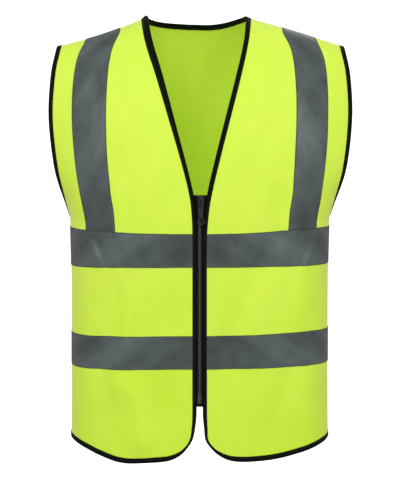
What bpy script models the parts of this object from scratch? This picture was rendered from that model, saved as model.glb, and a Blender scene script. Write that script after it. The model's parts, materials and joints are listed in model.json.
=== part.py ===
"""A sleeveless high-visibility work vest with a zip front, filled out as when it is worn.

Metres, +Z up, the front faces -Y, and the origin lies midway between the two neck points of the
shoulder seams. "left" is the wearer's left, at +X.
"""

import math

import bmesh
import bpy
from mathutils import Matrix, Vector

# cloth and trims
CLOTH = 0.0010  # knitted polyester, taken as a wall
TAPE = 0.0010  # reflective tape with its backing
TAPE_WIDTH = 0.050
GAP = 0.0003  # between pieces that are sewn to each other
BINDING_GAP = 0.0005  # a binding follows curved edges, so it keeps a little more
BINDING = 0.0076  # width of the folded binding round the armholes and the hem
BINDING_THICK = 0.0030

# heights on the body, downwards from the neck points
ARMPIT = -0.304
SHOULDER_TIP = -0.0455
UPPER_BAND_TOP = -0.3214
LOWER_BAND_TOP = -0.4740
FRONT_HEM = -0.6555
SIDE_HEM = -0.6285
BACK_HEM = -0.6020
ZIP_TOP = -0.2635
ZIP_BOTTOM = -0.5780

# the shoulder line: where it starts at the neck and ends at the armhole
NECK_POINT = {-1: 0.0785, 1: 0.0667}
SHOULDER_END = 0.2180
SHOULDER_DIP = {-1: 0.0038, 1: -0.0014}  # the shoulder line hangs this much below a straight one
NECK_SEAM = {-1: 0.0888, 1: 0.0780}  # shoulder seams end here, under the neck binding
BACK_NECK_DEPTH = 0.440  # share of the body's depth behind that the back neck reaches
NECK_ROUNDNESS = {-1: 2.6, 1: 2.0}
NECK_BINDING = 0.0097  # width of the binding round the back neck

ROUNDNESS = {-1: 3.2, 1: 2.8}  # superellipse powers of the front and back half of the body
ARMHOLE_ROUNDNESS = 1.2
ARMHOLE_TURN = 0.35  # share of the armhole's height over which the cloth turns outwards
ARMHOLE_DEPTH = 0.60  # share of the body's depth that an armhole edge keeps
ARMHOLE_BOTTOM = 0.40  # share of the armhole's height that its round bottom takes

# half width and depths of the body under the armholes
TORSO = (
    {"z": -0.665, "half_width": 0.1955, "front": 0.127, "back": 0.119},
    {"z": -0.560, "half_width": 0.1947, "front": 0.129, "back": 0.119},
    {"z": -0.470, "half_width": 0.1945, "front": 0.132, "back": 0.121},
    {"z": -0.380, "half_width": 0.1948, "front": 0.135, "back": 0.126},
    {"z": -0.304, "half_width": 0.1965, "front": 0.137, "back": 0.130},
)
# half width between the armhole edges, up the armhole
ARMHOLE = (
    {"rise": 0.00, "right": 0.1965, "left": 0.1965},
    {"rise": 0.10, "right": 0.2013, "left": 0.2020},
    {"rise": 0.30, "right": 0.2124, "left": 0.2145},
    {"rise": 0.60, "right": 0.2206, "left": 0.2227},
    {"rise": 0.85, "right": 0.2172, "left": 0.2200},
    {"rise": 1.00, "right": 0.2092, "left": 0.2120},
)
# cut edge of the fronts down the neck and the zip, and the binding's width there
FRONT_EDGE = (
    {"z": -0.583, "right": 0.0107, "left": 0.0107, "right_binding": 0.0058, "left_binding": 0.0058},
    {"z": -0.330, "right": 0.0107, "left": 0.0107, "right_binding": 0.0058, "left_binding": 0.0058},
    {"z": -0.300, "right": 0.0113, "left": 0.0125, "right_binding": 0.0058, "left_binding": 0.0060},
    {"z": -0.270, "right": 0.0142, "left": 0.0165, "right_binding": 0.0060, "left_binding": 0.0064},
    {"z": -0.229, "right": 0.0235, "left": 0.0257, "right_binding": 0.0060, "left_binding": 0.0068},
    {"z": -0.158, "right": 0.0440, "left": 0.0437, "right_binding": 0.0076, "left_binding": 0.0070},
    {"z": -0.088, "right": 0.0652, "left": 0.0617, "right_binding": 0.0098, "left_binding": 0.0070},
    {"z": -0.036, "right": 0.0821, "left": 0.0735, "right_binding": 0.0108, "left_binding": 0.0068},
    {"z": 0.000, "right": 0.0888, "left": 0.0780, "right_binding": 0.0104, "left_binding": 0.0072},
)
# rounded lower front corner
CORNER_TOP = -0.583
CORNER_WIDTH = 0.058
CORNER_POWER = 3.0
CORNER_MEET = 0.5 ** (1 / CORNER_POWER)  # front edge and hem meet this share down the corner
CORNER_PULL = {"z": -0.632, "reach": 0.013, "right": 0.0018, "left": 0.0040}  # fuller than the curve
CORNER_PINCH = {"x": 0.019, "z": -0.632, "reach": 0.022, "width": 0.0045}  # its binding is narrower
WIDTH_CHANGE = {"below": 0.020, "over": 0.030}  # under the corner's top it widens to the hem's binding
HEM_SWEEP = 1.9  # power of the hem's rise from the front to the side
HEM_SAG = {"x": -0.120, "reach": 0.040, "depth": 0.0063}  # the right front hangs lower here
# outer edge of the tapes over the shoulders, and how wide they lie: flattened, not in folds
BRACE = (
    {"z": -0.640, "right": 0.1667, "left": 0.1705, "right_width": 0.0515, "left_width": 0.0505},
    {"z": -0.314, "right": 0.1707, "left": 0.1745, "right_width": 0.0515, "left_width": 0.0505},
    {"z": -0.267, "right": 0.1782, "left": 0.1820, "right_width": 0.0518, "left_width": 0.0510},
    {"z": -0.220, "right": 0.1856, "left": 0.1878, "right_width": 0.0525, "left_width": 0.0510},
    {"z": -0.165, "right": 0.1903, "left": 0.1914, "right_width": 0.0548, "left_width": 0.0512},
    {"z": -0.105, "right": 0.1900, "left": 0.1920, "right_width": 0.0550, "left_width": 0.0515},
    {"z": -0.063, "right": 0.1843, "left": 0.1873, "right_width": 0.0538, "left_width": 0.0512},
    {"z": -0.030, "right": 0.1705, "left": 0.1745, "right_width": 0.0530, "left_width": 0.0510},
)
# how far the bands' edges stand above their levels towards the side seams, and more at the seams
BAND_RISE = {
    "lower band below": {"right": -0.0040, "right_end": 0.0035, "left": 0.0055, "left_end": -0.0015},
    "lower band above": {"right": -0.0040, "right_end": 0.0030, "left": 0.0088, "left_end": -0.0040},
    "upper band below": {"right": -0.0026, "right_end": 0.0000, "left": 0.0016, "left_end": -0.0010},
    "upper band above": {"right": 0.0052, "right_end": 0.0000, "left": 0.0105, "left_end": -0.0040},
}
END_POWER = 8
# largest folds: a soft ridge (+) or trough (-) along a line across the front or the back
FOLDS = (
    {"name": "chest fold right", "side": -1, "x0": -0.098, "z0": -0.190, "x1": -0.150, "z1": -0.330,
     "width": 0.022, "depth": -0.0035},
    {"name": "chest swell right", "side": -1, "x0": -0.065, "z0": -0.210, "x1": -0.105, "z1": -0.350,
     "width": 0.026, "depth": 0.0025},
    {"name": "chest fold left", "side": -1, "x0": 0.132, "z0": -0.270, "x1": 0.100, "z1": -0.390,
     "width": 0.020, "depth": -0.0035},
    {"name": "waist trough right", "side": -1, "x0": -0.122, "z0": -0.385, "x1": -0.158, "z1": -0.540,
     "width": 0.020, "depth": -0.0045},
    {"name": "waist ridge right", "side": -1, "x0": -0.095, "z0": -0.420, "x1": -0.118, "z1": -0.560,
     "width": 0.022, "depth": 0.0035},
    {"name": "hem fold right", "side": -1, "x0": -0.112, "z0": -0.545, "x1": -0.086, "z1": -0.650,
     "width": 0.022, "depth": 0.0045},
    {"name": "band trough left", "side": -1, "x0": 0.022, "z0": -0.460, "x1": 0.062, "z1": -0.545,
     "width": 0.020, "depth": -0.0030},
    {"name": "side ridge left", "side": -1, "x0": 0.150, "z0": -0.400, "x1": 0.166, "z1": -0.640,
     "width": 0.020, "depth": 0.0035},
    {"name": "back fold right", "side": 1, "x0": -0.105, "z0": -0.215, "x1": -0.140, "z1": -0.430,
     "width": 0.024, "depth": -0.0045},
    {"name": "back fold left", "side": 1, "x0": 0.085, "z0": -0.240, "x1": 0.130, "z1": -0.470,
     "width": 0.024, "depth": -0.0045},
    {"name": "back swell", "side": 1, "x0": -0.015, "z0": -0.120, "x1": 0.010, "z1": -0.420,
     "width": 0.034, "depth": 0.0040},
    {"name": "back hem fold right", "side": 1, "x0": -0.060, "z0": -0.440, "x1": -0.090, "z1": -0.610,
     "width": 0.024, "depth": 0.0040},
    {"name": "back hem fold left", "side": 1, "x0": 0.045, "z0": -0.480, "x1": 0.070, "z1": -0.610,
     "width": 0.024, "depth": -0.0035},
)

# lattice of each panel: rows between its named lines, and columns
ROWS_BELOW = (5, 2, 3, 2, 1)  # hem, lower band, gap, upper band, up to the armpit
HEM_CROWDING = 1.5  # rows lie closer towards the hem, and columns towards the front edge
ROWS_ROUND = 6  # round bottom of the armhole
ROWS_ABOVE = 8
LOWER_BAND_ROWS = (5, 7)
UPPER_BAND_ROWS = (10, 12)
ARMPIT_ROW = sum(ROWS_BELOW)
FRONT_COLUMNS = 6  # front edge to tape
NECK_COLUMNS = 5  # half of the back neck
BACK_COLUMNS = 2  # back neck to tape
TAPE_COLUMNS = 3
SIDE_COLUMNS = 4

# zip
ZIP_LEAN = 0.0018  # towards the left at the top, where the fronts part
ZIP_LEAN_END = -0.320
ZIP_SET_BACK = 0.0023  # zip tapes behind the middle of the cloth
ZIP_TAPE = 0.0010
ZIP_TAPE_WIDTH = 0.0130
CHAIN_WIDTH = 0.0058
CHAIN_THICK = 0.0028
ZIP_ROWS = 16
ZIP_STIFF = 0.030  # beside the zip the fronts stay flat this far
SLIDER = {"width": 0.0105, "height": 0.0150, "plate": 0.0014, "bridge_width": 0.0022,
          "bridge_inner": 0.0022, "bridge_outer": 0.0036, "hinge_down": 0.0062,
          "hinge_out": 0.0040}
PULL = {"length": 0.0385, "width": 0.0078, "thick": 0.0014, "slot_width": 0.0040,
        "slots": ((0.0007, 0.0075), (0.0090, 0.0140)), "ring_radius": 0.0057, "hole_radius": 0.0036}

COLOURS = {
    "cloth": {"color": (0.68, 0.90, 0.09), "roughness": 0.85, "metallic": 0.0},
    "tape": {"color": (0.12, 0.14, 0.14), "roughness": 0.45, "metallic": 0.3},
    "binding": {"color": (0.012, 0.014, 0.012), "roughness": 0.8, "metallic": 0.0},
    "zip_tape": {"color": (0.015, 0.017, 0.015), "roughness": 0.8, "metallic": 0.0},
    "zip_teeth": {"color": (0.03, 0.03, 0.03), "roughness": 0.35, "metallic": 0.0},
    "zip_metal": {"color": (0.10, 0.10, 0.10), "roughness": 0.30, "metallic": 0.9},
}

SIDES = {"left": 1, "right": -1}
SIDE_OF = {1: "left", -1: "right"}


def clear_scene():
    for thing in list(bpy.data.objects):
        bpy.data.objects.remove(thing, do_unlink=True)


def finish(name):
    """The material of one finish, made once."""
    material = bpy.data.materials.get(name)
    if material is None:
        material = bpy.data.materials.new(name)
        material.use_nodes = True
        shader = material.node_tree.nodes["Principled BSDF"]
        shader.inputs["Base Color"].default_value = (*COLOURS[name]["color"], 1.0)
        shader.inputs["Roughness"].default_value = COLOURS[name]["roughness"]
        shader.inputs["Metallic"].default_value = COLOURS[name]["metallic"]
    return material


def add_object(name, shape, finish_name):
    """An object from a bmesh, with smooth faces and one material."""
    mesh = bpy.data.meshes.new(name)
    shape.to_mesh(mesh)
    shape.free()
    mesh.shade_smooth()
    mesh.set_sharp_from_angle(angle=math.radians(40))
    mesh.materials.append(finish(finish_name))
    thing = bpy.data.objects.new(name, mesh)
    bpy.context.collection.objects.link(thing)
    return thing


def blend(value):
    """0 to 1 with soft ends."""
    value = min(max(value, 0.0), 1.0)
    return value * value * (3 - 2 * value)


def read(table, key, at, column):
    """A column of a table at any height, on a smooth curve through its rows."""
    low = 0
    while low < len(table) - 2 and at > table[low + 1][key]:
        low += 1
    known = [(row[key], row[column]) for row in table]

    def slope(i):
        before, after = known[max(i - 1, 0)], known[min(i + 1, len(known) - 1)]
        return (after[1] - before[1]) / (after[0] - before[0])

    (x0, y0), (x1, y1) = known[low], known[low + 1]
    span = x1 - x0
    t = min(max((at - x0) / span, 0.0), 1.0)
    return (
        y0 * (1 + 2 * t) * (1 - t) ** 2
        + y1 * t * t * (3 - 2 * t)
        + slope(low) * span * t * (1 - t) ** 2
        - slope(low + 1) * span * t * t * (1 - t)
    )


def shoulder_height(x):
    """Height of the shoulder line: straight slopes, and a low arch over the neck opening."""
    sign = 1 if x > 0 else -1
    lengths = {s: SHOULDER_END - NECK_POINT[s] for s in (-1, 1)}
    if abs(x) >= NECK_POINT[sign]:
        t = (abs(x) - NECK_POINT[sign]) / lengths[sign]
        return SHOULDER_TIP * t - SHOULDER_DIP[sign] * math.sin(math.pi * min(t, 1.0))
    slopes = {s: (SHOULDER_TIP - SHOULDER_DIP[s] * math.pi) / lengths[s] for s in (-1, 1)}
    span = NECK_POINT[-1] + NECK_POINT[1]
    u = (x + NECK_POINT[-1]) / span
    return span * (-slopes[-1] * (u**3 - 2 * u * u + u) + slopes[1] * (u**3 - u * u))


def half_width(level, sign=1):
    if level > 0:
        return read(ARMHOLE, "rise", level, SIDE_OF[sign])
    return read(TORSO, "z", ARMPIT + level, "half_width")


def skin(side, share, level):
    """A point in the middle of the cloth.

    side is -1 in front and 1 behind, and share runs from -1 to 1 across it. level is in metres
    from the armpit down, and above it the share of the way up to the shoulder line.
    """
    power = ROUNDNESS[side]
    depth = read(TORSO, "z", min(ARMPIT + level, ARMPIT), "front" if side < 0 else "back")
    x = half_width(level, 1 if share > 0 else -1) * share
    across = min(abs(share), 1.0) ** power
    if level <= 0:
        return Vector((x, side * depth * max(1 - across, 0.0) ** (1 / power), ARMPIT + level))
    turned = power + (ARMHOLE_ROUNDNESS - power) * blend(level / ARMHOLE_TURN)
    bottom = 1 - min(level / ARMHOLE_BOTTOM, 1.0)
    edge = ARMHOLE_DEPTH * math.sqrt(1 - bottom * bottom)
    bulge = max(1 - (1 - edge**turned) * across, 0.0) ** (1 / turned)
    z = ARMPIT + (shoulder_height(x) - ARMPIT) * level
    return Vector((x, side * depth * bulge * math.sqrt(max(1 - level * level, 0.0)), z))


def fold_height(side, point, share, level):
    """How far the folds move the cloth outwards, fading at the seams."""
    total = 0.0
    for fold in FOLDS:
        if fold["side"] != side:
            continue
        start = Vector((fold["x0"], fold["z0"]))
        along = Vector((fold["x1"], fold["z1"])) - start
        here = Vector((point.x, point.z)) - start
        t = here.dot(along) / along.length_squared
        off = (here - along * t).length / fold["width"]
        total += fold["depth"] * math.exp(-off * off) * blend((t + 0.25) / 0.4) * blend((1.25 - t) / 0.4)
    flat_by_zip = blend((abs(point.x) - FRONT_EDGE[0]["left"]) / ZIP_STIFF) if side < 0 else 1.0
    return total * flat_by_zip * (1 - abs(share) ** 8) * (1 - max(level, 0.0) ** 6)


def corner_share(drop):
    """Across the rounded front corner, for a drop into it, both 0 to 1."""
    return 1 - max(1 - min(max(drop, 0.0), 1.0) ** CORNER_POWER, 0.0) ** (1 / CORNER_POWER)


def front_edge(z, sign):
    """How far from the middle a front is cut at this height."""
    edge = read(FRONT_EDGE, "z", max(z, CORNER_TOP), SIDE_OF[sign])
    drop = (CORNER_TOP - z) / (CORNER_TOP - FRONT_HEM)
    pull = CORNER_PULL[SIDE_OF[sign]] * math.exp(-(((z - CORNER_PULL["z"]) / CORNER_PULL["reach"]) ** 2))
    return edge + CORNER_WIDTH * corner_share(drop) - pull


def hem_height(side, x):
    """Cut edge at the bottom of the front or the back."""
    reach = half_width(SIDE_HEM - ARMPIT)
    if side > 0:
        return BACK_HEM + (SIDE_HEM - BACK_HEM) * (abs(x) / reach) ** 2
    sag = HEM_SAG["depth"] * math.exp(-(((x - HEM_SAG["x"]) / HEM_SAG["reach"]) ** 2))
    start = FRONT_EDGE[0]["left"]
    meeting = start + CORNER_WIDTH * corner_share(CORNER_MEET)
    x = max(abs(x), meeting)
    if x < start + CORNER_WIDTH:
        u = 1 - (x - start) / CORNER_WIDTH
        return CORNER_TOP + (FRONT_HEM - sag - CORNER_TOP) * (1 - u**CORNER_POWER) ** (1 / CORNER_POWER)
    u = (x - start - CORNER_WIDTH) / (reach - start - CORNER_WIDTH)
    return FRONT_HEM - sag + (SIDE_HEM - FRONT_HEM) * min(u, 1.0) ** HEM_SWEEP


def lines_below(side, share):
    """Heights of the hem, both edges of both bands and the armpit at one place across."""
    half = SIDE_OF[1 if share > 0 else -1]
    rises = {
        edge: row[half] * share**2 + row[half + "_end"] * share**END_POWER
        for edge, row in BAND_RISE.items()
    }
    lower_low = LOWER_BAND_TOP - TAPE_WIDTH + rises["lower band below"]
    lower = LOWER_BAND_TOP + rises["lower band above"]
    upper_low = UPPER_BAND_TOP - TAPE_WIDTH + rises["upper band below"]
    upper = UPPER_BAND_TOP + rises["upper band above"]
    hem = hem_height(side, share * half_width(SIDE_HEM - ARMPIT))
    return hem, lower_low, lower, upper_low, upper, ARMPIT


def row_level(side, row, share):
    """Level of a lattice row at one place across, before the back neck is cut."""
    if row <= ARMPIT_ROW:
        heights = lines_below(side, share)
        for stretch, count in enumerate(ROWS_BELOW):
            if row <= count:
                part = (row / count) ** (1.0 if stretch else HEM_CROWDING)
                return heights[stretch] + (heights[stretch + 1] - heights[stretch]) * part - ARMPIT
            row -= count
    row -= ARMPIT_ROW
    if row <= ROWS_ROUND:
        return ARMHOLE_BOTTOM * (1 - math.cos(math.pi / 2 * row / ROWS_ROUND))
    start = math.asin(ARMHOLE_BOTTOM)
    return math.sin(start + (math.pi / 2 - start) * (row - ROWS_ROUND) / ROWS_ABOVE)


def neck_level(level, x):
    """The same level squeezed under the back neck's cut edge."""
    sign = 1 if x > 0 else -1
    reach = min(abs(x) / NECK_SEAM[sign], 1.0)
    power = NECK_ROUNDNESS[sign]
    top = BACK_NECK_DEPTH * max(1 - reach**power, 0.0) ** (1 / power)
    if level <= 0 or top == 0:
        return level
    return math.sin(math.asin(min(level, 1.0)) * math.acos(top) / (math.pi / 2))


def share_where(side, row, sign, distance):
    """The share at which a row is a given distance, which depends on height, from the middle."""
    share = 0.5
    for _ in range(25):
        level = row_level(side, row, sign * share)
        if side > 0:
            level = neck_level(level, sign * share * half_width(level, sign))
        z = skin(side, sign * share, level).z
        share = min(distance(z) / half_width(level, sign), 1.0)
    return share


def row_point(side, row, share):
    level = row_level(side, row, share)
    if side > 0:
        level = neck_level(level, share * half_width(level, 1 if share > 0 else -1))
    return skin(side, share, level), level


def tape_shares(side, row, sign):
    """Shares of the shoulder tape's inner and outer edge on a row."""
    def edge(on_row):
        share = share_where(side, on_row, sign, lambda z: read(BRACE, "z", z, SIDE_OF[sign]))
        return share, row_point(side, on_row, sign * share)[0]

    outer, far = edge(row)
    width = read(BRACE, "z", far.z, SIDE_OF[sign] + "_width")
    if row > UPPER_BAND_ROWS[1]:
        lean = (far - edge(row - 1)[1]).normalized()
        over = (row_point(side, row, sign * (outer - 0.1))[0] - far).normalized()
        width /= lean.cross(over).length
    low, high = 0.0, outer
    for _ in range(30):
        inner = (low + high) / 2
        if (row_point(side, row, sign * inner)[0] - far).length > width:
            low = inner
        else:
            high = inner
    return inner, outer


def spread(start, end, count, crowding=1.0):
    """Values after start up to end, evenly or closer towards the start."""
    return [start + (end - start) * (i / count) ** crowding for i in range(1, count + 1)]


def half_shares(side, row, sign):
    """Shares of the columns from the middle or front edge out to the side."""
    inner, outer = tape_shares(side, row, sign)
    if side < 0:
        if row == 0:
            middle = front_edge(CORNER_TOP + (FRONT_HEM - CORNER_TOP) * CORNER_MEET, sign)
            first = middle / half_width(SIDE_HEM - ARMPIT)
        else:
            first = share_where(side, row, sign, lambda z: front_edge(z, sign))
        shares = [first] + spread(first, inner, FRONT_COLUMNS, HEM_CROWDING)
    else:
        seam = share_where(side, row, sign, lambda z: NECK_SEAM[sign])
        turns = [math.sin(math.pi / 2 * i / NECK_COLUMNS) for i in range(NECK_COLUMNS + 1)]
        shares = [seam * turn ** (2 / NECK_ROUNDNESS[sign]) for turn in turns]
        shares += spread(seam, inner, BACK_COLUMNS)
    shares += spread(inner, outer, TAPE_COLUMNS)
    power = 2 / ROUNDNESS[side]
    start = math.asin(outer ** (1 / power))
    return shares + [math.sin(angle) ** power for angle in spread(start, math.pi / 2, SIDE_COLUMNS)]


def panel_lattice(side, sign=0):
    """Points and outward normals of a panel, row by row from the hem; sign 0 is the whole back."""
    rows = ARMPIT_ROW + ROWS_ROUND + ROWS_ABOVE
    points, shares = [], []
    for row in range(rows + 1):
        if sign:
            across = [sign * s for s in half_shares(side, row, sign)]
        else:
            right = [-s for s in reversed(half_shares(side, row, -1)[1:])]
            across = right + half_shares(side, row, 1)
        shares.append(across)
        points.append([row_point(side, row, s) for s in across])
    flip = side if sign >= 0 else -side
    smooth = lattice_normals([[point for point, level in line] for line in points], flip)
    folded = [
        [
            point + smooth[i][j] * fold_height(side, point, shares[i][j], level)
            for j, (point, level) in enumerate(line)
        ]
        for i, line in enumerate(points)
    ]
    normals = lattice_normals(folded, flip)
    for i, line in enumerate(folded):
        for j, point in enumerate(line):
            on_side = i <= ARMPIT_ROW and abs(shares[i][j]) > 1 - 1e-9
            on_shoulder = i == rows and points[i][j][1] > 1 - 1e-9
            if on_side or on_shoulder:
                normals[i][j].y = 0
                normals[i][j].normalize()
                point.y += side * GAP / 2
    return folded, normals


def lattice_normals(points, flip):
    """Unit normals of a lattice of points, one-sided at its edges."""
    last_row, last_column = len(points) - 1, len(points[0]) - 1
    normals = []
    for i in range(last_row + 1):
        line = []
        for j in range(last_column + 1):
            up = points[min(i + 1, last_row)][j] - points[max(i - 1, 0)][j]
            over = points[i][min(j + 1, last_column)] - points[i][max(j - 1, 0)]
            line.append((up.cross(over) * flip).normalized())
        normals.append(line)
    return normals


def wall(name, points, normals, out, thickness, finish_name):
    """A closed wall over a lattice: its middle stands off the points by out."""
    shape = bmesh.new()
    layers = []
    for offset in (out + thickness / 2, out - thickness / 2):
        layers.append([
            [shape.verts.new(p + n * offset) for p, n in zip(line, normal_line)]
            for line, normal_line in zip(points, normals)
        ])
    outer, inner = layers
    rows, columns = len(points) - 1, len(points[0]) - 1
    for i in range(rows):
        for j in range(columns):
            for layer in layers:
                shape.faces.new([layer[i][j], layer[i + 1][j], layer[i + 1][j + 1], layer[i][j + 1]])
    rim = [(0, j) for j in range(columns)] + [(i, columns) for i in range(rows)]
    rim += [(rows, j) for j in range(columns, 0, -1)] + [(i, 0) for i in range(rows, 0, -1)]
    for (i, j), (k, m) in zip(rim, rim[1:] + rim[:1]):
        shape.faces.new([outer[i][j], outer[k][m], inner[k][m], inner[i][j]])
    bmesh.ops.recalc_face_normals(shape, faces=shape.faces)
    return add_object(name, shape, finish_name)


def part_of(lattice, rows=None, columns=None):
    """A rectangle of a lattice, with both ends counted."""
    points, normals = lattice
    rows = rows or (0, len(points) - 1)
    columns = columns or (0, len(points[0]) - 1)
    cut = slice(columns[0], columns[1] + 1)
    return (
        [[p.copy() for p in line[cut]] for line in points[rows[0]:rows[1] + 1]],
        [list(line[cut]) for line in normals[rows[0]:rows[1] + 1]],
    )


def tape(name, lattice, rows=None, columns=None, lift_end=False):
    """Reflective tape on a panel, made from the panel's own points."""
    points, normals = part_of(lattice, rows, columns)
    if lift_end:
        for low, high in zip(points[0], points[1]):
            low += (high - low).normalized() * GAP
    wall(name, points, normals, (CLOTH + TAPE) / 2 + GAP, TAPE, "tape")


def bound_edge(lattice, places, width=None):
    """Stations of a binding along lattice places ((row, column), neighbour inside the panel)."""
    points, normals = lattice
    return [
        {
            "point": points[i][j].copy(),
            "normal": normals[i][j].copy(),
            "away": points[i][j] - points[k][m],
            "width": width(points[i][j]) if width else BINDING,
        }
        for (i, j), (k, m) in places
    ]


def binding(name, stations):
    """A closed loop of folded binding beyond the edge that its stations follow."""
    shape = bmesh.new()
    half = BINDING_THICK / 2
    rings = []
    count = len(stations)
    for index, here in enumerate(stations):
        tangent = (stations[(index + 1) % count]["point"] - stations[index - 1]["point"]).normalized()
        normal = (here["normal"] - tangent * here["normal"].dot(tangent)).normalized()
        out = tangent.cross(normal)
        if out.dot(here["away"]) < 0:
            out.negate()
        near = here["point"] + out * BINDING_GAP
        width = here["width"]
        profile = (
            (0.0, half), (width * 0.82, half), (width, half * 0.45),
            (width, -half * 0.45), (width * 0.82, -half), (0.0, -half),
        )
        rings.append([shape.verts.new(near + out * across + normal * up) for across, up in profile])
    for ring, following in zip(rings, rings[1:] + rings[:1]):
        for i in range(len(ring)):
            j = (i + 1) % len(ring)
            shape.faces.new([ring[i], ring[j], following[j], following[i]])
    bmesh.ops.recalc_face_normals(shape, faces=shape.faces)
    return add_object(name, shape, "binding")


def joined(first, second):
    """Two runs of stations whose touching ends become one station between them."""
    middle = dict(first[-1])
    middle["point"] = (first[-1]["point"] + second[0]["point"]) / 2
    return first[:-1] + [middle] + second[1:]


def closed(stations):
    """A run whose two ends meet, with the last station folded into the first."""
    stations[0]["point"] = (stations[0]["point"] + stations[-1]["point"]) / 2
    return stations[:-1]


def armhole_binding(name, front, back, sign):
    rows = len(front[0]) - 1
    front_last = len(front[0][0]) - 1
    back_last = len(back[0][0]) - 1 if sign > 0 else 0
    inside = back_last - sign
    up = bound_edge(front, [((i, front_last), (i, front_last - 1)) for i in range(ARMPIT_ROW, rows + 1)])
    down = bound_edge(back, [((i, back_last), (i, inside)) for i in range(rows, ARMPIT_ROW - 1, -1)])
    for run, end in ((up, 0), (down, -1)):
        run[end]["away"] = Vector((0, 0, 1))
    binding(name, closed(joined(up, down)))


def edge_binding(fronts, back):
    """One length of binding: hem, front edges and neck, joined at the right side seam."""
    rows = len(back[0]) - 1
    last = len(back[0][0]) - 1
    seam = SIDE_COLUMNS + TAPE_COLUMNS + BACK_COLUMNS
    front_last = len(fronts[1][0][0]) - 1

    def width_at(sign):
        def width(point):
            edge = read(FRONT_EDGE, "z", max(point.z, CORNER_TOP), SIDE_OF[sign] + "_binding")
            edge += (BINDING - edge) * blend(
                (CORNER_TOP - WIDTH_CHANGE["below"] - point.z) / WIDTH_CHANGE["over"]
            )
            off = math.hypot(abs(point.x) - CORNER_PINCH["x"], point.z - CORNER_PINCH["z"])
            return edge - CORNER_PINCH["width"] * math.exp(-((off / CORNER_PINCH["reach"]) ** 2))

        return width

    hem = {s: [((0, j), (1, j)) for j in range(front_last, 0, -1)] for s in (1, -1)}
    edge = [((i, 0), (i, 1)) for i in range(rows + 1)]
    left, right = (bound_edge(fronts[s], hem[s] + edge, width_at(s)) for s in (1, -1))
    for run in (left, right):
        run[len(hem[1])]["away"] = Vector((0, 0, -1))
    across = range(last - seam, seam - 1, -1)
    neck = bound_edge(back, [((rows, j), (rows - 1, j)) for j in across], lambda point: NECK_BINDING)
    under = bound_edge(back, [((0, j), (1, j)) for j in range(last + 1)])
    run = joined(joined(joined(left, neck), right[::-1]), under)
    binding("edge_binding", closed(run))


def zip_centre(z):
    """Middle of the zip: straight down the front, leaning at the top."""
    lean = ZIP_LEAN * blend((z - ZIP_LEAN_END) / (ZIP_TOP - ZIP_LEAN_END))
    level = z - ARMPIT
    if level > 0:
        level /= -ARMPIT
    return Vector((lean, skin(-1, 0.0, level).y, z))


def zip_strip(name, start, end, top, bottom, back, thickness, finish_name):
    """A straight strip down the front between two distances from the zip's middle."""
    points, normals = [], []
    for i in range(ZIP_ROWS + 1):
        z = bottom + (top - bottom) * i / ZIP_ROWS
        middle = zip_centre(z)
        points.append([middle + Vector((x, back, 0)) for x in (start, end)])
        normals.append([Vector((0, -1, 0))] * 2)
    return wall(name, points, normals, 0, thickness, finish_name)


def box_object(name, low, high, finish_name):
    """A box from its lowest and highest corners."""
    size = [b - a for a, b in zip(low, high)]
    centre = [(a + b) / 2 for a, b in zip(low, high)]
    shape = bmesh.new()
    bmesh.ops.create_cube(shape, size=1, matrix=Matrix.Translation(centre) @ Matrix.Diagonal((*size, 1)))
    return add_object(name, shape, finish_name)


def cylinder_object(name, radius, low, high, x, z, finish_name):
    """A cylinder along Y between two depths."""
    shape = bmesh.new()
    place = Matrix.Translation((x, (low + high) / 2, z)) @ Matrix.Rotation(math.pi / 2, 4, "X")
    bmesh.ops.create_cone(
        shape, cap_ends=True, segments=24, radius1=radius, radius2=radius, depth=high - low, matrix=place
    )
    return add_object(name, shape, finish_name)


def combine(target, tool, operation):
    """A Boolean with a helper object that isn't part of the model."""
    tool.hide_render = True
    tool.display_type = "WIRE"
    modifier = target.modifiers.new(operation, "BOOLEAN")
    modifier.operation = operation
    modifier.object = tool


def hinge_place():
    """Axis of the pull tab, in front of the slider."""
    z = ZIP_TOP - SLIDER["hinge_down"]
    centre = zip_centre(ZIP_TOP - SLIDER["height"] / 2)
    return Vector((centre.x, slider_front() - SLIDER["hinge_out"], z))


def slider_front():
    middle = zip_centre(ZIP_TOP - SLIDER["height"] / 2).y + ZIP_SET_BACK
    return middle - CHAIN_THICK / 2 - GAP - SLIDER["plate"]


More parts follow.
